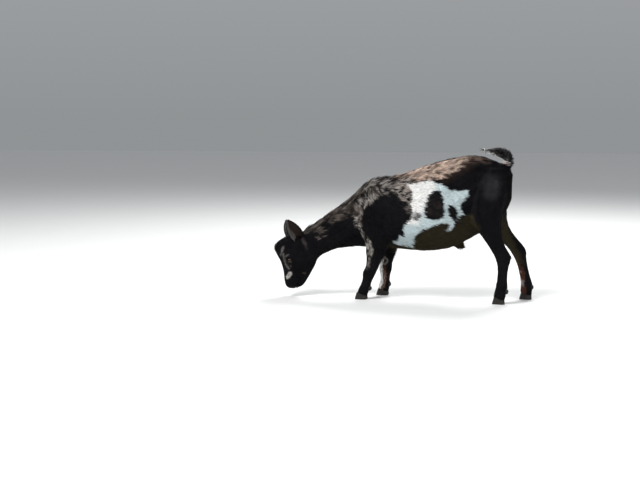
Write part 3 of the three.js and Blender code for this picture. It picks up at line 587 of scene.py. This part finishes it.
def eye_material():
    """A wet eye. gaze holds x along the pupil's slot, y across it and z towards the front of the eye."""
    tree, shader = new_material("eye_gloss", 0.08, Coat_Weight=0.3, Coat_Roughness=0.02,
                                Specular_IOR_Level=0.1)

    def maths(kind, a, b=0.5):
        return node(tree, "Math", {0: a, 1: b}, operation=kind).outputs[0]

    parts = node(tree, "SeparateXYZ", {"Vector": attribute(tree, "gaze", "Vector")})
    x, y = parts.outputs["X"], parts.outputs["Y"]
    from_middle = maths("SQRT", maths("ADD", maths("MULTIPLY", x, x), maths("MULTIPLY", y, y)))
    spokes = grain_noise(tree, 420.0, 2.0)
    iris = ramp(tree, maths("ADD", from_middle, maths("MULTIPLY", spokes, 0.06)), IRIS)
    slot = maths("ADD", *(maths("POWER", maths("ABSOLUTE", maths("DIVIDE", part, half)), 4.0)
                          for part, half in zip((x, y), PUPIL_HALF)))
    pupil = ramp(tree, slot, [(0.85, (1, 1, 1)), (1.0, (0, 0, 0))])
    mix = node(tree, "Mix", {"Factor": pupil, "A": iris, "B": (0.002, 0.002, 0.003, 1)}, data_type="RGBA")
    tree.links.new(mix.outputs["Result"], shader.inputs["Base Color"])


def horn_material():
    """Dark hoof horn with level growth rings, scuffed paler towards the ground."""
    tree, shader = new_material("hoof_horn", 0.5, Specular_IOR_Level=0.25)
    place = node(tree, "TexCoord", {}).outputs["Object"]
    rings = node(tree, "TexWave", {"Vector": place, "Scale": 95.0, "Distortion": 3.0, "Detail": 2.0},
                 bands_direction="Z").outputs["Fac"]
    height = node(tree, "SeparateXYZ", {"Vector": place}).outputs["Z"]
    height = node(tree, "MapRange", {"Value": height, "From Max": 0.024}).outputs["Result"]
    colour = ramp(tree, height, [(0, (0.022, 0.018, 0.0155)), (1, (0.009, 0.008, 0.0075))])
    colour = varied(tree, colour, grain_noise(tree, 400.0), 0.6, 1.4)
    surface(tree, shader, varied(tree, colour, rings, 0.88, 1.08), rings, 0.18, 0.0005)


grained_material("coat_hair", 0.55, 0.075, hair_colour, (900.0,), 0.75, 1.25, (0.25, 0.0006))
# skin with its lowest, flattest hair, seen between the tufts
grained_material("coat_skin", 0.75, 0.08, tone_of, (650.0, 5.0, (0.35, 1, 1)), 0.45, 1.1, (0.6, 0.0012))
grained_material("lid_skin", 0.42, 0.2, lambda tree: plain(tree, 0.008, 0.0065, 0.0065), (900.0,), 0.7, 1.3,
                 (0.4, 0.0006))
eye_material()
horn_material()

# ---- Skin ----
FLESH = ["trunk", "neck", "head", "tail", "foreleg_left", "foreleg_right", "hindleg_left", "hindleg_right"]
SKIN_GRID = 0.0042  # size of the skin's facets before the head is divided further
CUT_COVER = 0.0007  # how far the pieces are swollen to close the cuts between them
THROAT = turned((-360, 0, 121))  # where the jaw runs into the neck


def body_mesh():
    """The flesh nodes swollen over their cuts and melted into one mesh."""
    bm = bmesh.new()
    for name in FLESH:
        part = node_solid(name)
        part.normal_update()
        for vertex in part.verts:
            vertex.co += vertex.normal * CUT_COVER
        mesh = from_bmesh(part, name + "_swollen")
        bm.from_mesh(mesh)
        bpy.data.meshes.remove(mesh)
    # the sockets are filled, so that the lids have something to stand on
    for side in SIDES.values():
        middle = Matrix.Translation(Vector(to_frame(turned(EYE * [1, side, 1]))))
        bmesh.ops.create_icosphere(bm, subdivisions=3, radius=(EYE_RADIUS - 0.5) * MM, matrix=middle)
    melt = place_object("melt", from_bmesh(bm, "melt"))
    remesh = melt.modifiers.new("remesh", "REMESH")
    remesh.mode = "VOXEL"
    remesh.voxel_size = SKIN_GRID
    melted = bpy.data.meshes.new_from_object(melt.evaluated_get(bpy.context.evaluated_depsgraph_get()))
    bpy.data.objects.remove(melt)
    return melted


def divide(bm, wanted):
    """Divides the edges whose middle passes a test, given in drawing mm."""
    middles = to_drawing(np.array([(e.verts[0].co + e.verts[1].co) / 2 for e in bm.edges]))
    picked = [edge for edge, keep in zip(bm.edges, wanted(middles)) if keep]
    bmesh.ops.subdivide_edges(bm, edges=picked, cuts=1, use_grid_fill=True)


def mirrored_head(points):
    """Points as they are on the right half of a straight head."""
    q = straightened(points)
    q[:, 1] = abs(q[:, 1])
    return q


def near_eyes_or_muzzle(points):
    q = mirrored_head(points)
    return (np.linalg.norm(q - EYE, axis=1) < 24) | ((q[:, 2] < 72) & (q[:, 0] < -380))


def skin_mesh():
    """The body's surface, finer on the head, sunk by the coat's depth and evened out at the throat."""
    mesh = body_mesh()
    relax(mesh, 10)
    bm = bmesh.new()
    bm.from_mesh(mesh)
    divide(bm, lambda p: p[:, 0] < -385)
    divide(bm, near_eyes_or_muzzle)
    bmesh.ops.triangulate(bm, faces=bm.faces)
    bm.to_mesh(mesh)
    bm.free()
    relax(mesh, 3, np.where(to_drawing(read(mesh))[:, 0] < -380, 1.0, 0.0))
    place = to_drawing(read(mesh))
    depth = coat_at(place)[1]["depth"] * (0.3 + 0.7 * ease(24, 50, place[:, 2]))
    move_to(mesh, read(mesh) - read(mesh, "normal") * depth[:, None] * MM)
    relax(mesh, 2)
    away = np.linalg.norm((to_drawing(read(mesh)) - THROAT) * [1, 0.5, 1], axis=1)
    relax(mesh, 60, np.exp(-((away / 24) ** 2)), back=0.0)
    return mesh


# On a straight head: where the right eye looks, and the long axis of its lids, from the inner corner out.
EYE_AIM = unit(np.array([-0.34, 0.94, 0.04]))
LID_AXIS = np.array([-0.3, -0.12, 0.95])
LID_AXIS = unit(LID_AXIS - EYE_AIM * (LID_AXIS @ EYE_AIM))
LID_UP = np.cross(LID_AXIS, EYE_AIM)  # towards the brow
LID_HALF = np.array([10.2, 7.2])  # half the opening along and across
EYE_SUNK = 1.2  # how much deeper than the socket's middle the eyeball sits
BEHIND_EYE = EYE_RADIUS - 2.6  # how far from the socket's middle the skin inside the opening lies
MOUTH = ([27, 44, 64], [-434, -429, -423])  # the lips' line: height, and its place from front to back


def bell(x, width):
    return np.exp(-((x / width) ** 2))


def eye_opening(q):
    """How far out from the eye's middle points are, as a share of the opening, and how far in front of it."""
    off = q - EYE
    return np.hypot(off @ LID_AXIS / LID_HALF[0], off @ LID_UP / LID_HALF[1]), off @ EYE_AIM


def nostril_share(q, high, wide):
    """How far out from a nostril's bent slit points are, as a share of its half height and half width."""
    slit = q - NOSTRIL
    return np.hypot(slit[:, 2] / high, (slit[:, 1] - 0.18 * slit[:, 2]) / wide)


def sculpt_head(mesh):
    """Eye sockets with brow and tear pit, nostrils, lips and the groove under the nose."""
    p = read(mesh)
    drawn = straightened(to_drawing(p))
    flip = np.where(drawn[:, 1:2] < 0, [1, LEFT, 1], [1, RIGHT, 1])
    q = drawn * flip
    rise = np.zeros(len(p))

    # the orbit: the skin swells round the opening, most at the brow, and sinks into a tear pit
    off = q - EYE
    r, ahead = eye_opening(q)
    rise += np.where(ahead > -4, 2.4 * bell(r - 1.4, 0.32), 0)
    rise += np.where(ahead > -4, 2.6 * np.exp(-np.sum((off - LID_UP * 12 - EYE_AIM * 5) ** 2, 1) / 80), 0)
    rise -= 1.8 * np.exp(-np.linalg.norm(q - (EYE - LID_AXIS * 15), axis=1) ** 2 / 28)

    # nostrils: a bent slit with a swollen wing round it
    wing = nostril_share(q, 7.0, 3.0)
    low = (q[:, 2] < 60) & (q[:, 0] < -440)
    rise += np.where(low, -5.0 * (1 - ease(0.45, 1.05, wing)) + 1.3 * bell(wing - 1.5, 0.45), 0)

    # lips, and the groove that parts the upper one
    line = q[:, 0] - np.interp(q[:, 2], *MOUTH)
    rise += (1 - ease(60, 66, q[:, 2])) * (0.9 * bell(np.abs(line) - 4, 2.4) - 2.8 * bell(line, 1.3))
    below = (q[:, 2] < 52) & (q[:, 0] < -440)
    rise += np.where(below, -1.6 * bell(q[:, 1], 1.4) * ease(52, 44, q[:, 2]), 0)
    q = q + spun(read(mesh, "normal"), -HEAD_TURN) * flip * rise[:, None]

    # inside the opening the skin lies behind the eyeball
    off = q - EYE
    far = np.linalg.norm(off, axis=1)[:, None]
    inside = np.where(off @ EYE_AIM > 0, 1 - ease(0.92, 1.16, r), 0)[:, None]
    q = (q + (EYE + off / far * BEHIND_EYE - q) * inside * (far > BEHIND_EYE)) * flip
    move_to(mesh, np.where(drawn[:, :1] < -360, to_frame(turned(q)), p))


def make_skin():
    mesh = skin_mesh()
    sculpt_head(mesh)
    place = to_drawing(read(mesh))
    set_tone(mesh, coat_colour(place, np.zeros(len(place))))
    piece = link("skin", mesh, "coat_skin")
    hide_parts(*FLESH)
    return mesh


# ---- Eyes ----
def eye_frame(side):
    """The eye's middle and its axes in the frame: along the lids, towards the brow, and outwards."""
    flip = np.array([1, side, 1])
    middle = to_frame(turned((EYE - EYE_AIM * EYE_SUNK) * flip))
    return middle, [spun(axis * flip, HEAD_TURN) for axis in (LID_AXIS, LID_UP, EYE_AIM)]


def make_eye(label, side):
    middle, (_, _, out) = eye_frame(side)
    bm = bmesh.new()
    bmesh.ops.create_uvsphere(bm, u_segments=48, v_segments=32, radius=1)
    mesh = from_bmesh(bm, "eye_" + label)
    local = read(mesh)
    slot = unit(np.cross(out, [0, 0, 1]))  # the pupil stays level however the head hangs
    cornea = 1 + 0.07 * ease(0.72, 0.95, local[:, 2:])
    shaped = local * cornea * (EYE_RADIUS - 0.3) * MM
    move_to(mesh, middle + shaped @ np.array([slot, np.cross(out, slot), out]))
    store(mesh, "gaze", "FLOAT_VECTOR", "vector", local)
    piece = link("eyeball_" + label, mesh, "eye_gloss")
    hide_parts("eye_" + label)


def quads(a, b, c, d):
    """Two triangles for each facet, from its corners a and b and, beside them, c and d."""
    return np.stack([a, c, b, b, c, d], 1).reshape(-1, 3)


def make_lids(label, side):
    """A rolled rim round the opening, its corners drawn out to points, wider over the eye than under it."""
    middle, (along, up, out) = eye_frame(side)
    steps, ring = 56, 10
    a = 2 * math.pi * np.arange(steps)[:, None] / steps
    b = 2 * math.pi * np.arange(ring) / ring
    c, s = np.cos(a), np.sin(a)
    corner, upper = abs(c) ** 3, s > 0
    x = LID_HALF[0] * c * (1 + 0.10 * corner ** 2)
    y = LID_HALF[1] * s * np.where(upper, 0.92, 0.86) * (1 - 0.22 * c * c)
    inner = x * along + y * up
    front = np.sqrt(np.maximum((EYE_RADIUS + 0.35) ** 2 - x * x - y * y, 2.0)) * out
    across = np.where(upper, 3.4, 2.8) * (1 - 0.35 * corner) * (0.5 - 0.5 * np.cos(b))
    height = np.where(upper, 1.5, 1.15) * (1 - 0.6 * corner) * np.sin(b) * 0.6 + 0.35 - 0.28 * across
    rolled = unit(inner)[:, None] * across[..., None] + out * height[..., None]
    points = middle + ((inner + front)[:, None] + rolled).reshape(-1, 3) * MM
    a = np.arange(steps * ring)
    b = a // ring * ring + (a + 1) % ring
    faces = quads(a, b, (a + ring) % len(a), (b + ring) % len(a))
    if side == LEFT:
        faces = faces[:, ::-1]
    piece = link("lids_" + label, triangle_mesh("lids_" + label, points, faces), "lid_skin")


def make_lashes(label, side):
    """Lashes along the upper lid, bending towards the brow."""
    middle, (along, up, out) = eye_frame(side)
    count = 54
    a = np.linspace(math.radians(18), math.radians(162), count) + rng.normal(0, 0.02, count)
    x = (LID_HALF[0] * np.cos(a))[:, None]
    y = (LID_HALF[1] * np.sin(a) * 0.92 * (1 - 0.22 * np.cos(a) ** 2))[:, None]
    spread = unit(x * along + y * up)
    root = x * along + y * up + np.sqrt((EYE_RADIUS + 0.6) ** 2 - x ** 2 - y ** 2) * out
    root += to_drawing(middle) + spread
    numbers = {"length": 3.4 + 2.8 * np.sin(a), "width": np.full(count, 0.5), "lift": np.full(count, 0.55),
               "wave": np.zeros(count)}
    points, reach = lay_tufts(root, spread, unit(out + 0.25 * spread - 0.2 * along), numbers, root, 3)
    build_tufts("lashes_" + label, root, points, reach, np.tile(SOFT_BLACK, (count, 1)))


# ---- Ears ----
EAR_LENGTH, EAR_WIDTH, EAR_THICK = 107, 44, 3.0
EAR_POSES = {  # the middle of the base, where the tip points and where it opens, on a straight head
    "left": ((-407, -31, 164), (-0.52, -0.24, 0.83), (-0.3, -0.95, -0.1)),
    "right": ((-431, 30, 155), (-0.25, 0.58, 0.775), (-0.35, 0.93, -0.1)),
}
# Along the ear from base to tip: half its width as a share of the widest, and how deep it is bent.
EAR_SHARE = [0, 0.14, 0.3, 0.48, 0.66, 0.82, 0.94, 1]
EAR_HALF = [0.52, 0.66, 0.88, 1, 0.93, 0.7, 0.38, 0.08]
EAR_CUP = [0.5, 0.52, 0.42, 0.3, 0.2, 0.12, 0.06, 0.02]
EAR_INSIDE = np.array([0.019, 0.0125, 0.0105])
EAR_RIM = {"left": 0.5, "right": 0.22}  # how pale the hair of its front rim is


def smooth_line(values, t):
    """A smooth curve along the ear, by averaging a straight one."""
    near = np.clip(t + np.linspace(-0.06, 0.06, 7).reshape(-1, *[1] * np.ndim(t)), 0, 1)
    return np.interp(near, EAR_SHARE, values).mean(0)


def ear_surface(label, share, across, out):
    """A point of the ear in drawing mm: share of the way to the tip, -1 to 1 across, out of the sheet."""
    base, tip, opening = (np.array(v, float) for v in EAR_POSES[label])
    along = unit(tip)
    opens = unit(opening - along * (opening @ along))
    half = EAR_WIDTH / 2 * smooth_line(EAR_HALF, share)
    cup = EAR_WIDTH * smooth_line(EAR_CUP, share)
    slope = unit(np.stack([2 * cup * across, half], -1))
    x = cup * (across ** 2 - 1) + slope[..., 1] * out
    y = half * across - slope[..., 0] * out
    place = np.stack([x, y, EAR_LENGTH * share], -1)
    return turned(base + place @ np.array([opens, np.cross(along, opens), along]))


def ear_wall(share, across):
    """Half the ear's thickness."""
    return EAR_THICK / 2 * (1 - 0.4 * share) * (0.35 + 0.65 * np.sqrt(np.maximum(0, 1 - across ** 2)))


def make_ear(label):
    """A cupped sheet with ridges along its inside."""
    rows, columns = 46, 17
    share, across = np.meshgrid(np.linspace(0, 1, rows), np.linspace(-1, 1, columns), indexing="ij")
    wall = ear_wall(share, across)
    ridges = 0.5 * np.cos(across * math.pi * 2.5) * ease(0.9, 0.4, share)
    sheets = [ear_surface(label, share, across, out) for out in (wall - 0.6 + ridges, -wall)]
    size = rows * columns
    grid = np.arange(size).reshape(rows, columns)
    a, b, c, d = (part.ravel() for part in (grid[:-1, :-1], grid[:-1, 1:], grid[1:, :-1], grid[1:, 1:]))
    rim = np.concatenate([grid[:, 0], grid[-1, 1:], grid[-2::-1, -1], grid[0, -2:0:-1]])
    after = np.roll(rim, -1)
    faces = np.concatenate([quads(a, b, c, d), quads(size + a, size + c, size + b, size + d),
                            quads(rim, after, size + rim, size + after)])
    mesh = triangle_mesh("ear_skin_" + label, to_frame(np.reshape(sheets, (-1, 3))), faces)
    front = across.reshape(-1, 1) * SIDES[label]  # from -1 at the back rim to 1 at the front one
    tone = EAR_INSIDE + (GREY * 0.5 - EAR_INSIDE) * ease(0.5, 0.9, front)
    tone = tone + (SOFT_BLACK - tone) * ease(-0.5, -0.85, front)
    set_tone(mesh, np.concatenate([tone, np.tile(SOFT_BLACK, (size, 1))]))
    piece = link("ear_skin_" + label, mesh, "coat_skin")
    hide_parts("ear_" + label)


# ---- Hooves ----
def make_horn(name):
    """A claw or dewclaw with its corners rounded."""
    bm = node_solid(name)
    bmesh.ops.dissolve_limit(bm, angle_limit=math.radians(3), verts=bm.verts, edges=bm.edges)
    sharp = [e for e in bm.edges if e.is_manifold and e.calc_face_angle() > math.radians(42)]
    bmesh.ops.bevel(bm, geom=sharp, offset=0.0009, segments=3, affect="EDGES", profile=0.5)
    mesh = from_bmesh(bm, name + "_horn")
    piece = link(name + "_horn", mesh, "hoof_horn")
    mesh.set_sharp_from_angle(angle=math.radians(48))
    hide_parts(name)


# ---- Coat ----
PIECE_TRIANGLES = 185_000  # the most in one piece of the coat
LOCK = 9  # tufts that run together into one lock
PATCH_SIZE = 0.003  # of the bake map, for one tuft
MAP_EDGE = 0.004  # left free round the bake map
DOWN = np.array([0.0, 0.0, -1.0])
SHOWN = 0.6  # how far out along a tuft the part that shows is


def skin_roots(mesh):
    """Random roots on the skin and their normals, in drawing mm, as many as the coat's density asks for."""
    mesh.calc_loop_triangles()
    corners = np.empty(len(mesh.loop_triangles) * 3, np.int32)
    mesh.loop_triangles.foreach_get("vertices", corners)
    corners = corners.reshape(-1, 3)
    p = to_drawing(read(mesh))
    n = read(mesh, "normal")
    a, b, c = p[corners[:, 0]], p[corners[:, 1]], p[corners[:, 2]]
    area = np.linalg.norm(np.cross(b - a, c - a), axis=1) / 2
    expected = area * coat_at((a + b + c) / 3)[1]["dense"] / 100
    count = np.floor(expected + rng.random(len(expected))).astype(int)
    picked = np.repeat(np.arange(len(count)), count)
    u, v = rng.random((2, len(picked)))
    flip = u + v > 1
    u[flip], v[flip] = 1 - u[flip], 1 - v[flip]
    weights = np.stack([1 - u - v, u, v], 1)[..., None]
    root, normal = ((values[corners[picked]] * weights).sum(1) for values in (p, n))
    return root, unit(normal)


def bare(points):
    """Where no tuft grows: the eyes, the nostrils and the lips' line."""
    q = mirrored_head(points)
    r, ahead = eye_opening(q)
    nostril = (nostril_share(q, 8.5, 4.2) < 1) & (q[:, 0] < -450)
    mouth = (np.abs(q[:, 0] - np.interp(q[:, 2], *MOUTH)) < 1.6) & (q[:, 2] < 62) & (q[:, 0] < -380)
    return (r < 1.14) & (ahead > 0) | nostril | mouth


def gather_locks(root):
    """For each root, the place of the lock it belongs to and that lock's luck, from -1 to 1."""
    guides = root[rng.permutation(len(root))[:max(len(root) // LOCK, 1)]]
    tree = KDTree(len(guides))
    for i, place in enumerate(guides):
        tree.insert(place, i)
    tree.balance()
    nearest = np.array([tree.find(place)[1] for place in root])
    luck = rng.uniform(-1, 1, len(guides))
    return guides[nearest], luck[nearest]


def lay_tufts(root, normal, heading, numbers, lock, levels):
    """Flat three-sided locks that bend over and taper to a point: their points, in drawing mm."""
    def flat(vectors):
        return vectors - normal * np.sum(vectors * normal, 1)[:, None]

    count = len(root)
    length = numbers["length"] * rng.uniform(0.7, 1.2, count)
    width = numbers["width"] * rng.uniform(0.7, 1.25, count)
    lift = numbers["lift"] * rng.uniform(0.4, 1.5, count) + 0.05
    swing = numbers["wave"] * (1.5 * noise(root, 20, 5) + rng.uniform(-0.4, 0.4, count))
    swing += rng.normal(0, 0.08, count)
    gather = np.clip(0.15 + 1.3 * numbers["wave"], 0, 0.6)
    toward = flat(lock - root)
    ahead = unit(flat(heading))
    ahead = unit(ahead + np.cross(normal, ahead) * swing[:, None])
    aside = np.cross(normal, ahead)
    phase = rng.uniform(0, 2 * math.pi, count)
    rings = []
    stops = np.linspace(0, 1, levels + 1)
    for t in stops:
        along = length * t * (1 - 0.08 * t)
        height = length * lift * (t - 0.55 * t * t) - np.minimum(0.05 * length, 0.6)
        sway = length * numbers["wave"] * 0.2 * np.sin(phase + t * 4.2) * t
        middle = root + ahead * along[:, None] + normal * height[:, None] + aside * sway[:, None]
        middle += toward * (gather * t ** 1.4)[:, None]
        half = width[:, None] / 2 * (0.75 + 1.1 * t - 1.75 * t * t)
        ring = [middle + aside * half, middle + normal * half * 0.55, middle - aside * half]
        rings += ring if t < 1 else [middle]
    return np.stack(rings, 1), np.append(np.repeat(stops[:-1], 3), 1.0)


def build_tufts(name, root, points, reach, tone):
    """One piece of the coat from its tufts' points, ring by ring."""
    count, per = points.shape[:2]
    last = per - 4
    faces = [(0, 2, 1)]
    for start in range(0, last, 3):
        for k in range(3):
            a, b = start + k, start + (k + 1) % 3
            faces += [(a, b, a + 3), (b, b + 3, a + 3)]
    faces += [(last + k, last + (k + 1) % 3, last + 3) for k in range(3)]
    faces = np.array(faces)[None] + np.arange(count)[:, None, None] * per
    mesh = triangle_mesh(name, to_frame(points.reshape(-1, 3)), faces.reshape(-1, 3))
    set_tone(mesh, np.repeat(tone, per, axis=0))
    store(mesh, "reach", "FLOAT", "value", np.tile(reach, count))
    add_bake_map(mesh, root, per, reach)
    piece = link(name, mesh, "coat_hair")


def add_bake_map(mesh, root, per, reach):
    """OFBake: each tuft is a small patch at its root's place on the skin, rolled out round the piece."""
    spread = root - (root.min(0) + root.max(0)) / 2
    second, first, axis = np.linalg.eigh(np.cov(spread.T))[1].T
    u = spread @ axis
    u = (u - u.min()) / max(np.ptp(u), 1e-9)
    v = np.arctan2(spread @ second, spread @ first) / (2 * math.pi) + 0.5
    corner = np.append(np.tile([-0.5, 0.0, 0.5], (per - 1) // 3), 0.0)
    places = MAP_EDGE + (1 - 2 * MAP_EDGE) * np.stack([u, v], -1)
    uv = places[:, None] + np.stack([reach - 0.5, corner], -1) * PATCH_SIZE
    layer = mesh.uv_layers.new(name="OFBake")
    loops = np.empty(len(mesh.loops), np.int32)
    mesh.loops.foreach_get("vertex_index", loops)
    layer.data.foreach_set("uv", uv.reshape(-1, 2)[loops].astype(np.float32).ravel())


def make_coat(skin):
    root, normal = skin_roots(skin)
    sole = (root[:, 2] < 30) & ((normal[:, 2] < -0.5) | (root[:, 2] < 11))
    keep = ~bare(root) & ~sole
    root, normal = root[keep], normal[keep]
    heading, numbers, names = coat_at(root)
    numbers["length"] *= 1 + 0.7 * ease(36, 24, root[:, 2])  # a fringe over the hooves
    # hair that would stand straight out of a surface lies down it instead
    head_on = ease(0.55, 0.9, np.abs(np.sum(heading * normal, 1)))
    heading = unit(heading + head_on[:, None] * DOWN * (root[:, :1] > -210))
    lock, luck = gather_locks(root)
    scatter = 0.6 * luck + 0.4 * rng.uniform(-1, 1, len(root))
    tone = coat_colour(root + heading * (numbers["length"] * SHOWN)[:, None], scatter)
    for name in sorted(set(names)):
        mine = np.flatnonzero(names == name)
        levels = 3 if name in ("neck", "trunk", "tail") else 2
        triangles = 6 * (levels - 1) + 4
        parts = math.ceil(len(mine) * triangles / PIECE_TRIANGLES)
        mine = mine[np.argsort(root[mine, 0])]
        for i, chosen in enumerate(np.array_split(mine, parts)):
            label = f"coat_{name}" + (f"_{i + 1}" if parts > 1 else "")
            own = {key: value[chosen] for key, value in numbers.items()}
            roots = root[chosen]
            points, reach = lay_tufts(roots, normal[chosen], heading[chosen], own, lock[chosen], levels)
            build_tufts(label, roots, points, reach, tone[chosen])


def ear_fur(label):
    """Short fur over the back of an ear, a fringe round its rim, and long sparse hair inside it."""
    counts = {"back": 3600, "rim": 900, "inside": 1500}
    share = np.concatenate([rng.uniform(0, 0.985, n) for n in counts.values()])
    kind = np.repeat(list(counts), list(counts.values()))
    back, rim, inside = kind == "back", kind == "rim", kind == "inside"

    def by_kind(on_back, on_rim, within):
        return np.where(back, on_back, np.where(rim, on_rim, within))

    total = len(share)
    across = rng.uniform(-0.97, 0.97, total)
    edge = np.where(rng.random(total) < 0.5, -1, 1)
    at_rim = edge * rng.uniform(0.86, 1.0, total)
    # inside, the hair springs from the front edge and the two ridges
    springs = rng.choice([-0.75, -0.25, 0.3, 0.8], total) + rng.normal(0, 0.09, total)
    across = np.clip(by_kind(across, at_rim, springs), -1, 1)
    wall = ear_wall(share, across)
    out = np.where(back | (rim & (rng.random(total) < 0.5)), -wall + 0.3, wall - 0.9)
    root = ear_surface(label, share, across, out)
    normal = unit(ear_surface(label, share, across, out + np.where(out < 0, -1.0, 1.0)) - root)
    up = unit(ear_surface(label, np.minimum(share + 0.01, 1), across, out) - root)
    aside = unit(ear_surface(label, share, np.clip(across + 0.02, -1, 1.02), out) - root)
    lean = by_kind(0.12 * across, 0.22 * edge, -0.5 * np.sign(across))
    heading = unit(up + aside * lean[:, None])
    numbers = {"length": by_kind(5.5, 5.0, 12.0) * (1 - 0.35 * share), "width": by_kind(1.3, 1.0, 0.9),
               "lift": by_kind(0.1, 0.12, 0.3), "wave": np.full(total, 0.06)}
    lock, luck = gather_locks(root)
    scatter = (0.5 * luck + 0.5 * rng.uniform(-1, 1, total))[:, None]
    tone = np.where(back[:, None], SOFT_BLACK * (1 + 0.5 * scatter), EAR_INSIDE * (1.2 + 0.7 * scatter))
    # the front rim is pale, the back one black but for its foot
    front = across * SIDES[label]
    fringe = (rim & (front > 0)) | (inside & (front > 0.55))
    tone = np.where(fringe[:, None], EAR_RIM[label] * GREY * (1.3 + scatter), tone)
    behind = (rim & (front < 0)) | (inside & (front < -0.55))
    foot = ease(0.3, 0.12, share)[:, None]
    dark = (SOFT_BLACK + (0.4 * GREY - SOFT_BLACK) * foot) * (1.1 + 0.5 * scatter)
    tone = np.where(behind[:, None], dark, tone)
    points, reach = lay_tufts(root, normal, heading, numbers, lock, 2)
    build_tufts("coat_ear_" + label, root, points, reach, tone)


# ---- Stage ----
FLOOR_TONE = (0.66, 0.66, 0.65)
# At the horizon the air is as dark as the floor there, so no line shows.
AIR = [(0.0, (0.565, 0.588, 0.604)), (0.35, (0.85, 0.88, 0.92))]
LAMPS = {  # place, size, power: a big one above, a lower fill, and a rim light along the back
    "key": ((-1.3, -1.9, 3.3), 1.5, 165), "fill": ((2.6, -2.8, 1.5), 2.2, 36),
    "rim": ((0.5, 2.3, 3.0), 1.6, 130),
}
LIT_PLACE = Vector((0, 0, 0.28))
CAMERA_PLACE = (0.4713, -3.4963, 0.578)
CAMERA_DOWN, CAMERA_TURN = math.radians(6.33), math.radians(12)
CAMERA_LENS, CAMERA_SENSOR = 61.875, 36


def make_stage():
    bpy.ops.mesh.primitive_plane_add(size=30, location=(0, 0, 0))
    floor = bpy.context.object
    floor.name = "floor"
    tree, shader = new_material("floor_paint", 0.75)
    shade = varied(tree, plain(tree, *FLOOR_TONE), grain_noise(tree, 6.0), 0.98, 1.02)
    tree.links.new(shade, shader.inputs["Base Color"])
    floor.data.materials.append(bpy.data.materials["floor_paint"])
    world = bpy.data.worlds.new("studio")
    world.use_nodes = True
    tree = world.node_tree
    place = node(tree, "TexCoord", {}).outputs["Generated"]
    rise = node(tree, "SeparateXYZ", {"Vector": place}).outputs["Z"]
    background = tree.nodes["Background"]
    background.inputs["Strength"].default_value = 0.5
    tree.links.new(ramp(tree, rise, AIR), background.inputs["Color"])
    bpy.context.scene.world = world
    bpy.context.scene.view_settings.view_transform = "Standard"
    for name, (place, size, power) in LAMPS.items():
        lamp = bpy.data.lights.new(name, "AREA")
        lamp.size = size
        lamp.energy = power
        place_object(name, lamp, place, (LIT_PLACE - Vector(place)).to_track_quat("-Z", "Y").to_euler())


def make_camera():
    camera = bpy.data.cameras.new("camera")
    camera.sensor_width = CAMERA_SENSOR
    camera.lens = CAMERA_LENS
    rotation = (math.pi / 2 - CAMERA_DOWN, 0, CAMERA_TURN)
    bpy.context.scene.camera = place_object("camera", camera, CAMERA_PLACE, rotation)


make_stage()
make_camera()
goat_skin = make_skin()
for eye_label, eye_side in SIDES.items():
    make_eye(eye_label, eye_side)
    make_lids(eye_label, eye_side)
    make_lashes(eye_label, eye_side)
    make_ear(eye_label)
for node_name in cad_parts:
    if node_name.startswith(("hoof", "dewclaw")):
        make_horn(node_name)
make_coat(goat_skin)
ear_fur("left")
ear_fur("right")
